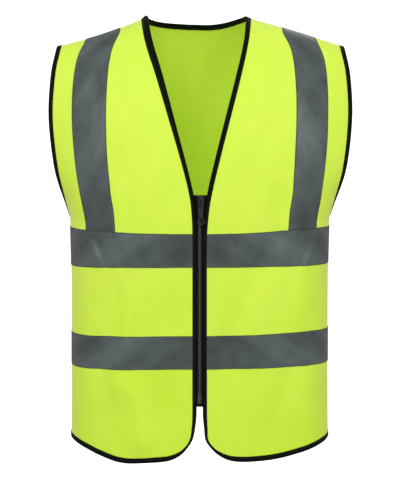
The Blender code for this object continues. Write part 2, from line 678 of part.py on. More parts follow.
def zip_slider():
    """Two plates on a core, with the round bridge that carries the pull tab."""
    centre = zip_centre(ZIP_TOP - SLIDER["height"] / 2)
    low, high = ZIP_TOP - SLIDER["height"], ZIP_TOP
    half, plate = SLIDER["width"] / 2, SLIDER["plate"]
    front = slider_front()
    back = front + 2 * plate + CHAIN_THICK + 2 * GAP
    body = box_object("zip_slider", (centre.x - half, front, low), (centre.x + half, front + plate, high),
                      "zip_metal")
    core = box_object("slider_core", (centre.x - CHAIN_WIDTH / 2, front + plate / 2, low + 0.0004),
                      (centre.x + CHAIN_WIDTH / 2, back - plate / 2, high - 0.0004), "zip_metal")
    rear = box_object("slider_back", (centre.x - half, back - plate, low),
                      (centre.x + half, back, high), "zip_metal")
    hinge = hinge_place()
    wide = SLIDER["bridge_width"] / 2
    bridge = bmesh.new()
    rings = []
    turns = [math.pi * i / 10 for i in range(11)]
    for radius in (SLIDER["bridge_outer"], SLIDER["bridge_inner"]):
        arc = [(hinge.y - radius * math.sin(a), hinge.z + radius * math.cos(a)) for a in turns]
        arc = [(front + plate / 2, arc[0][1])] + arc + [(front + plate / 2, arc[-1][1])]
        rings.append([[bridge.verts.new((hinge.x + x, y, z)) for y, z in arc] for x in (-wide, wide)])
    (outer_a, outer_b), (inner_a, inner_b) = rings
    for i in range(len(outer_a) - 1):
        for one, two in ((outer_a, outer_b), (outer_b, inner_b), (inner_b, inner_a), (inner_a, outer_a)):
            bridge.faces.new([one[i], one[i + 1], two[i + 1], two[i]])
    for end in (0, -1):
        bridge.faces.new([outer_a[end], outer_b[end], inner_b[end], inner_a[end]])
    bmesh.ops.recalc_face_normals(bridge, faces=bridge.faces)
    bridge = add_object("slider_bridge", bridge, "zip_metal")
    for piece in (core, rear, bridge):
        combine(body, piece, "UNION")


def zip_pull():
    """The pull tab: a slotted frame and a ring, hanging from its axis."""
    hinge = hinge_place()
    half, wide = PULL["thick"] / 2, PULL["width"] / 2
    radius, hole = PULL["ring_radius"], PULL["hole_radius"]
    ring_z = -PULL["length"] + radius
    tab = box_object("zip_pull", (-wide, -half, ring_z + radius * 0.6), (wide, half, half), "zip_metal")
    ring = cylinder_object("pull_ring", radius, -half, half, 0, ring_z, "zip_metal")
    combine(tab, ring, "UNION")
    cutters = [cylinder_object("pull_hole", hole, -2 * half, 2 * half, 0, ring_z, "zip_metal")]
    for i, (start, end) in enumerate(PULL["slots"]):
        across = PULL["slot_width"] / 2
        cutters.append(box_object(f"pull_slot_{i}", (-across, -2 * half, -end), (across, 2 * half, -start),
                                  "zip_metal"))
    for cutter in cutters:
        combine(tab, cutter, "DIFFERENCE")
    axis = bpy.data.objects.new("pull_axis", None)
    axis.location = hinge
    bpy.context.collection.objects.link(axis)
    for thing in [tab, ring] + cutters:
        thing.parent = axis


def build():
    clear_scene()
    back = panel_lattice(1)
    fronts = {sign: panel_lattice(-1, sign) for sign in (1, -1)}
    wall("back_panel", *back, 0, CLOTH, "cloth")
    rows = len(back[0]) - 1
    over = (UPPER_BAND_ROWS[1], rows)
    last = len(back[0][0]) - 1
    first = SIDE_COLUMNS
    for name, sign in SIDES.items():
        wall(f"front_{name}", *fronts[sign], 0, CLOTH, "cloth")
        tape(f"brace_tape_front_{name}", fronts[sign], over, (FRONT_COLUMNS, FRONT_COLUMNS + TAPE_COLUMNS),
             lift_end=True)
        behind = (first, first + TAPE_COLUMNS) if sign < 0 else (last - first - TAPE_COLUMNS, last - first)
        tape(f"brace_tape_back_{name}", back, over, behind, lift_end=True)
        tape(f"upper_band_front_{name}", fronts[sign], UPPER_BAND_ROWS)
        tape(f"lower_band_front_{name}", fronts[sign], LOWER_BAND_ROWS)
        armhole_binding(f"armhole_binding_{name}", fronts[sign], back, sign)
        edges = sorted((sign * (CHAIN_WIDTH / 2 + GAP), sign * (CHAIN_WIDTH / 2 + ZIP_TAPE_WIDTH)))
        zip_strip(f"zip_tape_{name}", *edges, ZIP_TOP, ZIP_BOTTOM, ZIP_SET_BACK, ZIP_TAPE, "zip_tape")
    tape("upper_band_back", back, UPPER_BAND_ROWS)
    tape("lower_band_back", back, LOWER_BAND_ROWS)
    edge_binding(fronts, back)
    chain_top = ZIP_TOP - SLIDER["height"] - GAP
    zip_strip("zip_chain", -CHAIN_WIDTH / 2, CHAIN_WIDTH / 2, chain_top, ZIP_BOTTOM + 0.002, ZIP_SET_BACK,
              CHAIN_THICK, "zip_teeth")
    zip_slider()
    zip_pull()


build()
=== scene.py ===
import json
import math

import bmesh
import bpy
import numpy as np
from mathutils import Matrix, Vector


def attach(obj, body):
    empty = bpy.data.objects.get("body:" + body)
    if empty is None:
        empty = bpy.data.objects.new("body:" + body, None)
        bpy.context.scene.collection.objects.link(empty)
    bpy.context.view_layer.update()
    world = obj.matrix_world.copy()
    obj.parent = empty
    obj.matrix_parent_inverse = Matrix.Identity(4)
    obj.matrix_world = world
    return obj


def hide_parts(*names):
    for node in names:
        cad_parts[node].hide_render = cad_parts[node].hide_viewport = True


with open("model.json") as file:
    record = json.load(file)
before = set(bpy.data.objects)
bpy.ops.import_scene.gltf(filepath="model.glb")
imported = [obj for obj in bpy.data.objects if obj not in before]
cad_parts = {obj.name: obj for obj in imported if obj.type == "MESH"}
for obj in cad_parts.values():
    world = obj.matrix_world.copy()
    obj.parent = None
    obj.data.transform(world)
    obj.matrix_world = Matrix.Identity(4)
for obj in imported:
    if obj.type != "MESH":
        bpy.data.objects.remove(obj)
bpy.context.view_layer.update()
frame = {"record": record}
print("frame loaded")

# the form of the vest: side is -1 in front and 1 behind, sign is 1 at the wearer's left
form = {
    "armpit": -0.304, "shoulderTip": -0.0455, "shoulderEnd": 0.2180, "shoulderDip": {-1: 0.0038, 1: -0.0014},
    "upperTop": -0.3214, "lowerTop": -0.4740, "tapeWidth": 0.050,
    "frontHem": -0.6555, "sideHem": -0.6285, "backHem": -0.6020,
    "neckPoint": {-1: 0.0785, 1: 0.0667}, "neckSeam": {-1: 0.0888, 1: 0.0780},
    "neckDepth": 0.440, "neckRound": {-1: 2.6, 1: 2.0}, "round": {-1: 3.2, 1: 2.8},
    "holeRound": 1.2, "holeTurn": 0.35, "holeDepth": 0.60, "holeBottom": 0.40,
    "cornerTop": -0.583, "cornerWidth": 0.058, "cornerPower": 3.0, "hemSweep": 1.9,
    "seamGap": 0.0003, "zipStiff": 0.030,
}


def table(names, *rows):  # one array for each named column
    return dict(zip(names.split(), np.array(rows).T))


torso = table(
    "z half front back",
    (-0.665, 0.1955, 0.127, 0.119), (-0.560, 0.1947, 0.129, 0.119), (-0.470, 0.1945, 0.132, 0.121),
    (-0.380, 0.1948, 0.135, 0.126), (-0.304, 0.1965, 0.137, 0.130),
)
armhole = table(  # z is the share of the way up here
    "z right left",
    (0.00, 0.1965, 0.1965), (0.10, 0.2013, 0.2020), (0.30, 0.2124, 0.2145),
    (0.60, 0.2206, 0.2227), (0.85, 0.2172, 0.2200), (1.00, 0.2092, 0.2120),
)
frontEdge = table(  # cut edge of each front from the middle, and its binding's width
    "z right left rightBinding leftBinding",
    (-0.583, 0.0107, 0.0107, 0.0058, 0.0058), (-0.330, 0.0107, 0.0107, 0.0058, 0.0058),
    (-0.300, 0.0113, 0.0125, 0.0058, 0.0060), (-0.270, 0.0142, 0.0165, 0.0060, 0.0064),
    (-0.229, 0.0235, 0.0257, 0.0060, 0.0068), (-0.158, 0.0440, 0.0437, 0.0076, 0.0070),
    (-0.088, 0.0652, 0.0617, 0.0098, 0.0070), (-0.036, 0.0821, 0.0735, 0.0108, 0.0068),
    (0.000, 0.0888, 0.0780, 0.0104, 0.0072),
)
cornerPull = {  # fuller than the curve, and the share and place that it has along the hem
    "z": -0.632, "reach": 0.013, -1: 0.0018, 1: 0.0040, "hemShare": 0.68, "hemX": 0.020, "hemReach": 0.012,
}
cornerPinch = {"x": 0.019, "z": -0.636, "reach": 0.024, "width": 0.0045}  # its binding is narrower
hemSag = {"x": -0.120, "reach": 0.040, "depth": 0.0063}  # the right front hangs lower here
brace = table(  # outer edge of the shoulder tapes and how wide they lie
    "z right left rightWidth leftWidth",
    (-0.640, 0.1667, 0.1705, 0.0515, 0.0505), (-0.314, 0.1707, 0.1745, 0.0515, 0.0505),
    (-0.267, 0.1782, 0.1820, 0.0518, 0.0510), (-0.220, 0.1856, 0.1878, 0.0525, 0.0510),
    (-0.165, 0.1903, 0.1914, 0.0548, 0.0512), (-0.105, 0.1900, 0.1920, 0.0550, 0.0515),
    (-0.063, 0.1843, 0.1873, 0.0538, 0.0512), (-0.030, 0.1705, 0.1745, 0.0530, 0.0510),
)
bandRise = {  # of the bands' edges towards the side seam, and more at the seam itself
    "lowerLow": {-1: (-0.0040, 0.0035), 1: (0.0055, -0.0015)},
    "lowerHigh": {-1: (-0.0040, 0.0030), 1: (0.0088, -0.0040)},
    "upperLow": {-1: (-0.0026, 0.0), 1: (0.0016, -0.0010)},
    "upperHigh": {-1: (0.0052, 0.0), 1: (0.0105, -0.0040)},
}
folds = (  # side, from (x, z) to (x, z), width, depth: the large ones, as in the solids
    (-1, -0.098, -0.190, -0.150, -0.330, 0.022, -0.0035), (-1, -0.065, -0.210, -0.105, -0.350, 0.026, 0.0025),
    (-1, 0.132, -0.270, 0.100, -0.390, 0.020, -0.0035), (-1, -0.122, -0.385, -0.158, -0.540, 0.020, -0.0045),
    (-1, -0.095, -0.420, -0.118, -0.560, 0.022, 0.0035), (-1, -0.112, -0.545, -0.086, -0.650, 0.022, 0.0045),
    (-1, 0.022, -0.460, 0.062, -0.545, 0.020, -0.0030), (-1, 0.150, -0.400, 0.166, -0.640, 0.020, 0.0035),
    (1, -0.105, -0.215, -0.140, -0.430, 0.024, -0.0045), (1, 0.085, -0.240, 0.130, -0.470, 0.024, -0.0045),
    (1, -0.015, -0.120, 0.010, -0.420, 0.034, 0.0040), (1, -0.060, -0.440, -0.090, -0.610, 0.024, 0.0040),
    (1, 0.045, -0.480, 0.070, -0.610, 0.024, -0.0035),
)
creases = (  # the same for the finer ones, with how far each line bows sideways
    (-1, -0.1794, -0.3171, -0.1513, -0.3693, 0.0060, 0.0011, 0.003),
    (-1, -0.1631, -0.3275, -0.1394, -0.3723, 0.0050, -0.0012, 0.003),
    (-1, -0.1303, -0.3216, -0.1126, -0.3723, 0.0085, -0.0012, -0.002),
    (-1, -0.1214, -0.3245, -0.0947, -0.3723, 0.0070, 0.0009, 0.002),
    (-1, 0.0455, -0.3245, 0.0540, -0.3752, 0.0050, -0.0009, 0.002),
    (-1, 0.1238, -0.3186, 0.1046, -0.3752, 0.0090, -0.0012, 0.002),
    (-1, 0.1803, -0.3126, 0.1551, -0.3723, 0.0060, 0.0013, 0.002),
    (-1, 0.1847, -0.3141, 0.1893, -0.3395, 0.0030, -0.0007, 0.000),
    (-1, -0.1574, -0.4709, -0.1531, -0.5248, 0.0060, -0.0010, 0.001),
    (-1, -0.1038, -0.4709, -0.0950, -0.5248, 0.0070, -0.0009, 0.001),
    (-1, 0.0198, -0.4739, 0.0541, -0.5248, 0.0080, -0.0010, 0.003),
    (-1, 0.1509, -0.4709, 0.1659, -0.5218, 0.0045, -0.0012, 0.002),
    (-1, 0.1777, -0.4649, 0.1837, -0.4978, 0.0030, 0.0008, 0.001),
    (-1, -0.1216, -0.4170, -0.1485, -0.4768, 0.0100, -0.0010, 0.003),
    (-1, -0.0948, -0.4170, -0.1068, -0.4768, 0.0080, -0.0006, 0.002),
    (-1, -0.1069, -0.5517, -0.0817, -0.6478, 0.0110, 0.0012, 0.004),
    (-1, -0.1286, -0.1892, -0.1497, -0.3245, 0.0120, -0.0012, 0.003),
    (-1, -0.0737, -0.1522, -0.1066, -0.3126, 0.0150, 0.0009, 0.004),
    (-1, 0.0924, -0.1522, 0.1238, -0.3126, 0.0140, -0.0008, -0.004),
    (-1, -0.1778, -0.0422, -0.1415, -0.0271, 0.0045, -0.0028, 0.000),
    (-1, 0.1258, -0.0196, 0.1757, -0.0497, 0.0045, -0.0030, 0.001),
    (-1, -0.1204, -0.0346, -0.1431, -0.0678, 0.0060, -0.0006, 0.001),
    (-1, 0.1480, -0.5650, 0.1660, -0.6450, 0.0100, -0.0010, 0.003),
    (-1, 0.0700, -0.4300, 0.0950, -0.4900, 0.0120, 0.0007, 0.003),
)
rowCounts = (5, 2, 3, 2, 1)  # as in the solids: hem, lower band, gap, upper band, up to the armpit
armpitRow, roundRows, topRows = 13, 6, 8
sideColumns = {-1: 13, 1: 14}  # from the middle to the side seam
neckColumns = 5
tapeStart = {-1: 6, 1: 7}  # first column under a shoulder tape
tapeRows, tapeColumns = 2, 3  # rows under a band and columns under a shoulder tape
bandRows = {"upper": 10, "lower": 5}
halves = (("Left", 1), ("Right", -1))
topRow = armpitRow + roundRows + topRows
fineStep = 0.125


def hump(offset, reach):
    return np.exp(-((offset / reach) ** 2))


def byHalf(x, pair):  # the left's or the right's value
    return np.where(x > 0, pair[1], pair[-1])


def soft(value):  # 0 to 1 with soft ends
    value = np.clip(value, 0.0, 1.0)
    return value * value * (3 - 2 * value)


def readTable(rows, at, column):  # smooth curve through a table's rows
    known, values = rows["z"], rows[column]
    slopes = np.empty_like(values)
    slopes[1:-1] = (values[2:] - values[:-2]) / (known[2:] - known[:-2])
    slopes[0] = (values[1] - values[0]) / (known[1] - known[0])
    slopes[-1] = (values[-1] - values[-2]) / (known[-1] - known[-2])
    at = np.asarray(at, float)
    low = np.clip(np.searchsorted(known, at, side="left") - 1, 0, len(known) - 2)
    span = known[low + 1] - known[low]
    t = np.clip((at - known[low]) / span, 0.0, 1.0)
    return (
        values[low] * (1 + 2 * t) * (1 - t) ** 2 + values[low + 1] * t * t * (3 - 2 * t)
        + slopes[low] * span * t * (1 - t) ** 2 - slopes[low + 1] * span * t * t * (1 - t)
    )


def shoulderHeight(x):
    right, left = form["neckPoint"][-1], form["neckPoint"][1]
    neck = byHalf(x, form["neckPoint"])
    t = (abs(x) - neck) / (form["shoulderEnd"] - neck)
    dips = form["shoulderDip"]
    line = form["shoulderTip"] * t - byHalf(x, dips) * np.sin(np.pi * np.clip(t, 0, 1))
    slopeRight, slopeLeft = ((form["shoulderTip"] - dips[s] * math.pi) / (form["shoulderEnd"] - n)
                             for s, n in ((-1, right), (1, left)))
    u = (x + right) / (right + left)
    arch = (right + left) * (-slopeRight * (u**3 - 2 * u * u + u) + slopeLeft * (u**3 - u * u))
    return np.where(abs(x) >= neck, line, arch)


def halfWidth(level, share=1.0):
    level, share = np.asarray(level, float), np.asarray(share, float)
    below = readTable(torso, np.minimum(form["armpit"] + level, form["armpit"]), "half")
    up = np.maximum(level, 0)
    above = np.where(share > 0, readTable(armhole, up, "left"), readTable(armhole, up, "right"))
    return np.where(level > 0, above, below)


def clothPoint(side, share, level):  # middle of the cloth, without folds
    share, level = np.broadcast_arrays(np.asarray(share, float), np.asarray(level, float))
    power = form["round"][side]
    z = form["armpit"] + level
    depth = readTable(torso, np.minimum(z, form["armpit"]), "front" if side < 0 else "back")
    x = halfWidth(level, share) * share
    across = np.minimum(abs(share), 1.0) ** power
    low = depth * np.maximum(1 - across, 0.0) ** (1 / power)
    up = np.clip(level, 0, 1)
    turned = power + (form["holeRound"] - power) * soft(up / form["holeTurn"])
    bottom = 1 - np.minimum(up / form["holeBottom"], 1.0)
    edge = form["holeDepth"] * np.sqrt(1 - bottom * bottom)
    high = depth * np.maximum(1 - (1 - edge**turned) * across, 0.0) ** (1 / turned) * np.sqrt(1 - up * up)
    z = np.where(level > 0, form["armpit"] + (shoulderHeight(x) - form["armpit"]) * up, z)
    return np.stack([x, side * np.where(level > 0, high, low), z], axis=-1)


def cornerShare(drop):
    power = form["cornerPower"]
    return 1 - np.maximum(1 - np.clip(drop, 0, 1) ** power, 0.0) ** (1 / power)


cornerMeet = 0.5 ** (1 / form["cornerPower"])
hemReach = float(halfWidth(form["sideHem"] - form["armpit"]))


def edgeDistance(z, sign):
    edge = readTable(frontEdge, np.maximum(z, form["cornerTop"]), "left" if sign > 0 else "right")
    pull = cornerPull[sign] * hump(z - cornerPull["z"], cornerPull["reach"])
    drop = (form["cornerTop"] - z) / (form["cornerTop"] - form["frontHem"])
    return edge + form["cornerWidth"] * cornerShare(drop) - pull


def hemHeight(side, x):
    if side > 0:
        return form["backHem"] + (form["sideHem"] - form["backHem"]) * (x / hemReach) ** 2
    start, width, power = frontEdge["left"][0], form["cornerWidth"], form["cornerPower"]
    low = form["frontHem"] - hemSag["depth"] * hump(x - hemSag["x"], hemSag["reach"])
    full = byHalf(x, cornerPull) * cornerPull["hemShare"]
    full = full * hump(abs(x) - cornerPull["hemX"], cornerPull["hemReach"])
    x = np.maximum(abs(x) + full, start + width * cornerShare(cornerMeet))
    u = np.clip(1 - (x - start) / width, 0, 1)
    corner = form["cornerTop"] + (low - form["cornerTop"]) * (1 - u**power) ** (1 / power)
    v = np.clip((x - start - width) / (hemReach - start - width), 0, 1)
    sweep = low + (form["sideHem"] - form["frontHem"]) * v ** form["hemSweep"]
    return np.where(x < start + width, corner, sweep)


def rowLevel(side, row, share):
    row, share = np.broadcast_arrays(np.asarray(row, float), np.asarray(share, float))
    rise = {}
    for edge, ends in bandRise.items():
        broad, end = (np.where(share > 0, ends[1][k], ends[-1][k]) for k in (0, 1))
        rise[edge] = broad * share**2 + end * share**8
    lines = (hemHeight(side, share * hemReach),
             form["lowerTop"] - form["tapeWidth"] + rise["lowerLow"], form["lowerTop"] + rise["lowerHigh"],
             form["upperTop"] - form["tapeWidth"] + rise["upperLow"], form["upperTop"] + rise["upperHigh"],
             np.full(share.shape, form["armpit"]))
    level, start = lines[0] - form["armpit"], 0
    for i, count in enumerate(rowCounts):
        part = np.clip((row - start) / count, 0, 1) ** (1.0 if i else 1.5)
        level = level + (lines[i + 1] - lines[i]) * part
        start += count
    above = np.clip(row - armpitRow, 0, roundRows) / roundRows
    even = above + share**2 * (1 - np.cos(np.pi / 2 * above) - above)  # round at the hole, even inside
    bottom = form["holeBottom"] * even
    begin = math.asin(form["holeBottom"])
    rest = np.sin(begin + (math.pi / 2 - begin) * np.clip(row - armpitRow - roundRows, 0, topRows) / topRows)
    return np.where(row <= armpitRow, level, np.where(row <= armpitRow + roundRows, bottom, rest))


def neckLevel(level, x):  # rows squeezed under the back neck
    reach = np.minimum(abs(x) / byHalf(x, form["neckSeam"]), 1.0)
    power = byHalf(x, form["neckRound"])
    turn = np.arcsin(np.clip(level, 0, 1)) / (np.pi / 2)
    gentle = np.maximum(1 - reach**2, 0.0) ** 1.5
    curve = np.maximum(1 - reach**power, 0.0) ** (1 / power)
    top = form["neckDepth"] * (gentle + (curve - gentle) * turn**3)  # round only at the neck itself
    cut = np.sin(turn * np.pi / 2 - turn**1.5 * np.arcsin(top))
    return np.where(level > 0, cut, level)


def rowPoint(side, row, share):
    level = rowLevel(side, row, share)
    if side > 0:  # squeezed rows slide straight down, or the cloth would fold over itself
        flat = share * halfWidth(level, share)
        level = neckLevel(level, flat)
        share = flat / halfWidth(level, share)
    return clothPoint(side, share, level), level


def shareWhere(side, row, sign, distance):
    share = np.full(np.shape(row), 0.1)
    for _ in range(40):  # half steps, so that it settles round the front corner too
        point, level = rowPoint(side, row, sign * share)
        share = (share + np.minimum(distance(point[..., 2]) / halfWidth(level, sign), 1.0)) / 2
    return share


def tapeShares(side, row, sign):  # inner and outer edge of the shoulder tape
    half = "left" if sign > 0 else "right"
    outer = shareWhere(side, row, sign, lambda z: readTable(brace, z, half))
    far = rowPoint(side, row, sign * outer)[0]
    below = shareWhere(side, row - 1, sign, lambda z: readTable(brace, z, half))
    lean = unit(far - rowPoint(side, row - 1, sign * below)[0])
    over = unit(rowPoint(side, row, sign * (outer - 0.1))[0] - far)
    slant = np.linalg.norm(np.cross(lean, over), axis=-1)
    bent = (slant - 1) * np.clip(row - armpitRow + 1, 0, 1)
    width = readTable(brace, far[..., 2], half + "Width") / (1 + bent)
    low, high = np.zeros_like(outer), outer.copy()
    for _ in range(30):
        inner = (low + high) / 2
        wide = np.linalg.norm(rowPoint(side, row, sign * inner)[0] - far, axis=-1) > width
        low, high = np.where(wide, inner, low), np.where(wide, high, inner)
    return inner, outer


def unit(vectors):
    return vectors / np.maximum(np.linalg.norm(vectors, axis=-1, keepdims=True), 1e-12)


def acrossShares(side, sign, rows, columns):
    inner, outer = (edge[:, None] for edge in tapeShares(side, rows, sign))
    start = tapeStart[side]
    if side < 0:
        first = shareWhere(side, rows, sign, lambda z: edgeDistance(z, sign))
        corner = edgeDistance(form["cornerTop"] + (form["frontHem"] - form["cornerTop"]) * cornerMeet, sign)
        first = np.where(rows < 1e-6, corner / hemReach, first)[:, None]
        shares = first + (inner - first) * (np.clip(columns, 0, start) / start) ** 1.5
    else:
        seam = shareWhere(side, rows, sign, lambda z: form["neckSeam"][sign] + 0 * z)[:, None]
        shares = np.sin(np.pi / 2 * np.clip(columns, 0, neckColumns) / neckColumns)
        shares = seam * shares ** (2 / form["neckRound"][sign])
        shares = shares + (inner - seam) * np.clip((columns - neckColumns) / (start - neckColumns), 0, 1)
    shares = shares + (outer - inner) * np.clip((columns - start) / tapeColumns, 0, 1)
    power = 2 / form["round"][side]
    begin = np.arcsin(outer ** (1 / power))
    last = start + tapeColumns
    turn = begin + (np.pi / 2 - begin) * np.clip((columns - last) / (sideColumns[side] - last), 0, 1)
    return shares + np.sin(turn) ** power - outer


def foldHeight(side, points, share, level):
    x, z = points[..., 0], points[..., 2]
    total = np.zeros(x.shape)
    for at, x0, z0, x1, z1, width, depth, *bow in folds + creases + backCreases:
        if at != side:
            continue
        dx, dz = x1 - x0, z1 - z0
        long = math.hypot(dx, dz)
        t = ((x - x0) * dx + (z - z0) * dz) / long**2
        off = ((x - x0) * dz - (z - z0) * dx) / long
        if bow:  # fine creases are steeper on one side and uneven along their length
            off = off + bow[0] * np.sin(np.pi * np.clip(t, -0.3, 1.3)) + 0.0008 * np.sin(140 * z + 900 * x0)
            off = off * np.where(off > 0, 1.25, 0.85)
            depth = depth * 1.5 * (1 + 0.35 * np.sin(75 * z + 300 * x0))
        total += depth * hump(off, width) * soft((t + 0.25) / 0.4) * soft((1.25 - t) / 0.4)
    for length, angle, phase, height in ripples:
        along = math.cos(angle) * x + math.sin(angle) * z
        total += height * np.sin(2 * np.pi / length * along + phase + side)
    nearZip = soft((abs(x) - frontEdge["left"][0]) / form["zipStiff"]) if side < 0 else 1.0
    return total * nearZip * (1 - abs(share) ** 8) * (1 - np.maximum(level, 0.0) ** 6)


chance = np.random.default_rng(11)
ripples = [  # length, angle, phase, height: five broad ones and seven fine ones
    (chance.uniform(*lengths), chance.uniform(-lean, lean), chance.uniform(0, 6.3), height)
    for count, lengths, lean, height in ((5, (0.05, 0.11), 0.5, 0.00035), (7, (0.018, 0.035), 0.9, 0.00010))
    for _ in range(count)
]
backCreases = ()
for _ in range(22):
    startX, startZ = chance.uniform(-0.17, 0.17), chance.uniform(-0.55, -0.10)
    drop = chance.uniform(0.05, 0.13)
    backCreases += ((1, startX, startZ, startX + chance.uniform(-0.35, 0.35) * drop + startX * 0.12,
                     startZ - drop, chance.uniform(0.006, 0.014), chance.uniform(-0.0012, 0.0011),
                     chance.uniform(-0.004, 0.004)),)


def facing(side, sign):  # 1 where the lattice's own normals point outwards
    return side if sign >= 0 else -side


def clothSurface(side, rows, columns, sign=0):  # points and outward normals, folds included
    rows, columns = np.asarray(rows, float), np.asarray(columns, float)
    if sign:
        share = sign * acrossShares(side, sign, rows, columns)
    else:
        right, left = acrossShares(side, -1, rows, -columns), acrossShares(side, 1, rows, columns)
        share = np.where(columns < 0, -right, left)
    flat, level = rowPoint(side, rows[:, None], share)
    flip = facing(side, sign)
    points = flat + surfaceNormals(flat, flip) * foldHeight(side, flat, share, level)[..., None]
    normals = surfaceNormals(points, flip)
    seam = ((rows[:, None] <= armpitRow) & (abs(share) > 1 - 1e-9)) | (
        (rows[:, None] > topRow - 1e-9) & (level > 1 - 1e-9))
    normals[seam, 1] = 0
    points[seam, 1] += side * form["seamGap"] / 2
    return points, unit(normals)


def surfaceNormals(points, flip):
    up, over = np.gradient(points, axis=0), np.gradient(points, axis=1)
    return unit(np.cross(up, over)) * flip


def clothLengths(points):  # the cloth's own measure across and up, in metres
    across = np.zeros(points.shape[:2])
    across[:, 1:] = np.cumsum(np.linalg.norm(np.diff(points, axis=1), axis=-1), axis=1)
    up = np.zeros(points.shape[:2])
    up[1:] = np.cumsum(np.linalg.norm(np.diff(points, axis=0), axis=-1), axis=0)
    return np.stack([across, up], axis=-1)


def gridObject(name, points, lengths, reverse):  # a grid with its vertices moved into place
    rows, columns = points.shape[0] - 1, points.shape[1] - 1
    shape = bmesh.new()
    bmesh.ops.create_grid(shape, x_segments=columns, y_segments=rows, size=0.5)
    if reverse:
        bmesh.ops.reverse_faces(shape, faces=shape.faces)
    mesh = meshOf(name, shape)
    mesh.vertices.foreach_set("co", points.reshape(-1))
    corners = np.empty(len(mesh.loops), dtype=np.int32)
    mesh.loops.foreach_get("vertex_index", corners)
    layer = mesh.uv_layers.new(name="cloth")
    layer.data.foreach_set("uv", lengths.reshape(-1, 2)[corners].reshape(-1))
    mesh.update()
    mesh.shade_smooth()
    return placed(name, mesh)


def meshOf(name, shape):
    mesh = bpy.data.meshes.new(name)
    shape.to_mesh(mesh)
    shape.free()
    return mesh


def shown(name, data):
    thing = bpy.data.objects.new(name, data)
    bpy.context.collection.objects.link(thing)
    return thing


def placed(name, mesh, body="vest"):
    thing = shown(name, mesh)
    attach(thing, body)
    return thing


def meshObject(name, shape, body="vest", flatAbove=35):
    mesh = meshOf(name, shape)
    mesh.shade_smooth()
    mesh.set_sharp_from_angle(angle=math.radians(flatAbove))
    return placed(name, mesh, body)


def thicken(thing, thickness):
    wall = thing.modifiers.new("thickness", "SOLIDIFY")
    wall.thickness = thickness
    wall.offset = 0.0


def steps(start, end):
    return np.linspace(start, end, max(2, round((end - start) / fineStep) + 1))


class Shade:  # one socket; sums on it become Math nodes
    def __init__(self, tree, socket):
        self.tree, self.socket = tree, socket

    def node(self, kind, settings=(), sockets=(), out=0):
        made = self.tree.nodes.new("ShaderNode" + kind)
        for key, value in dict(settings).items():
            setattr(made, key, value)
        for key, value in dict(sockets).items():
            if isinstance(value, Shade):
                self.tree.links.new(value.socket, made.inputs[key])
            else:
                made.inputs[key].default_value = value
        return Shade(self.tree, made.outputs[out])

    def maths(self, operation, first, second=0.0):
        return self.node("Math", {"operation": operation}, {0: first, 1: second})

    def __add__(self, other):
        return self.maths("ADD", self, other)

    def __sub__(self, other):
        return self.maths("SUBTRACT", self, other)

    def __rsub__(self, other):
        return self.maths("SUBTRACT", other, self)

    def __mul__(self, other):
        return self.maths("MULTIPLY", self, other)

    __radd__, __rmul__ = __add__, __mul__

    def sine(self):
        return self.maths("SINE", self)

    def wave(self, length):
        return (self * (2 * math.pi / length)).sine()

    def size(self):
        return self.maths("ABSOLUTE", self)

    def part(self, axis):
        return self.node("SeparateXYZ", {}, {0: self}, out=axis)

    def ease(self, low, high):  # 0 below low, 1 above high
        return self.node("MapRange", {"interpolation_type": "SMOOTHSTEP"},
                         {"Value": self, "From Min": low, "From Max": high})

    def blend(self, first, second):  # colours mixed by this
        return self.node("Mix", {"data_type": "RGBA"}, {0: self, 6: first, 7: second}, out=2)

    def noise(self, scale, detail=3.0, rough=0.55):
        return self.node("TexNoise", {}, {"Vector": self, "Scale": scale, "Detail": detail,
                                          "Roughness": rough})


def startMaterial(name, settings):
    material = bpy.data.materials.new(name)
    material.use_nodes = True
    tree = material.node_tree
    shader = tree.nodes["Principled BSDF"]
    for key, value in settings.items():
        shader.inputs[key].default_value = value

    def finish(base, rough, relief):
        for key, shade in (("Base Color", base), ("Roughness", rough), ("Normal", relief)):
            tree.links.new(shade.socket, shader.inputs[key])
        return material

    return Shade(tree, None).node("TexCoord", out=3), finish


def measure(place):  # across and up the cloth, in metres
    lengths = place.node("UVMap", {"uv_map": "cloth"})
    return lengths.part(0), lengths.part(1)


def bump(height, distance, strength=1.0, under=None):
    sockets = {"Height": height, "Distance": distance, "Strength": strength}
    if under is not None:
        sockets["Normal"] = under
    return height.node("Bump", {}, sockets)


def color(red, green, blue):
    return (red, green, blue, 1.0)


knit = {"wale": 0.0011, "course": 0.0013, "bright": color(0.69, 0.935, 0.084),
        "deep": color(0.58, 0.875, 0.036), "glow": 0.07}


def knitCloth():
    # partly the fabric's real fluorescence, partly painted light: an even glow that also lightens its shaded
    # inside
    place, finish = startMaterial("yellow knit", {
        "Specular IOR Level": 0.35, "Sheen Weight": 0.40, "Sheen Roughness": 0.35,
        "Sheen Tint": color(1.0, 1.0, 0.85), "Emission Color": color(0.95, 1.0, 0.05),
        "Emission Strength": knit["glow"]})
    u, v = measure(place)
    wale = u.wave(knit["wale"])
    loop = (v * (2 * math.pi / knit["course"]) + wale * 1.4).sine()
    yarn = wale * 0.5 + loop * 0.5
    broad = place.noise(9.0, 3.0)
    fine = place.noise(420.0, 2.0)
    paintedHemShade = place.part(2).ease(-0.75, -0.20) * 0.5  # painted shade: a little deeper in colour towards the hem, where less light falls
    shade = (broad.ease(0.30, 0.72) * 0.30 + yarn * 0.10 + fine * 0.25 + paintedHemShade).ease(0.0, 0.95)
    relief = bump(yarn, 0.00012, 0.5, bump(place.noise(34.0, 3.0), 0.0016, 0.35))
    return finish(shade.blend(knit["deep"], knit["bright"]), 0.72 + fine * 0.16, relief)


# the tape's tones; hem is the width of the painted edge shade, stitch the length of the pucker
tapeLook = {"pale": color(0.150, 0.182, 0.180), "dark": color(0.040, 0.052, 0.049),
            "border": color(0.05, 0.058, 0.05), "hem": 0.0011, "stitch": 0.0032}


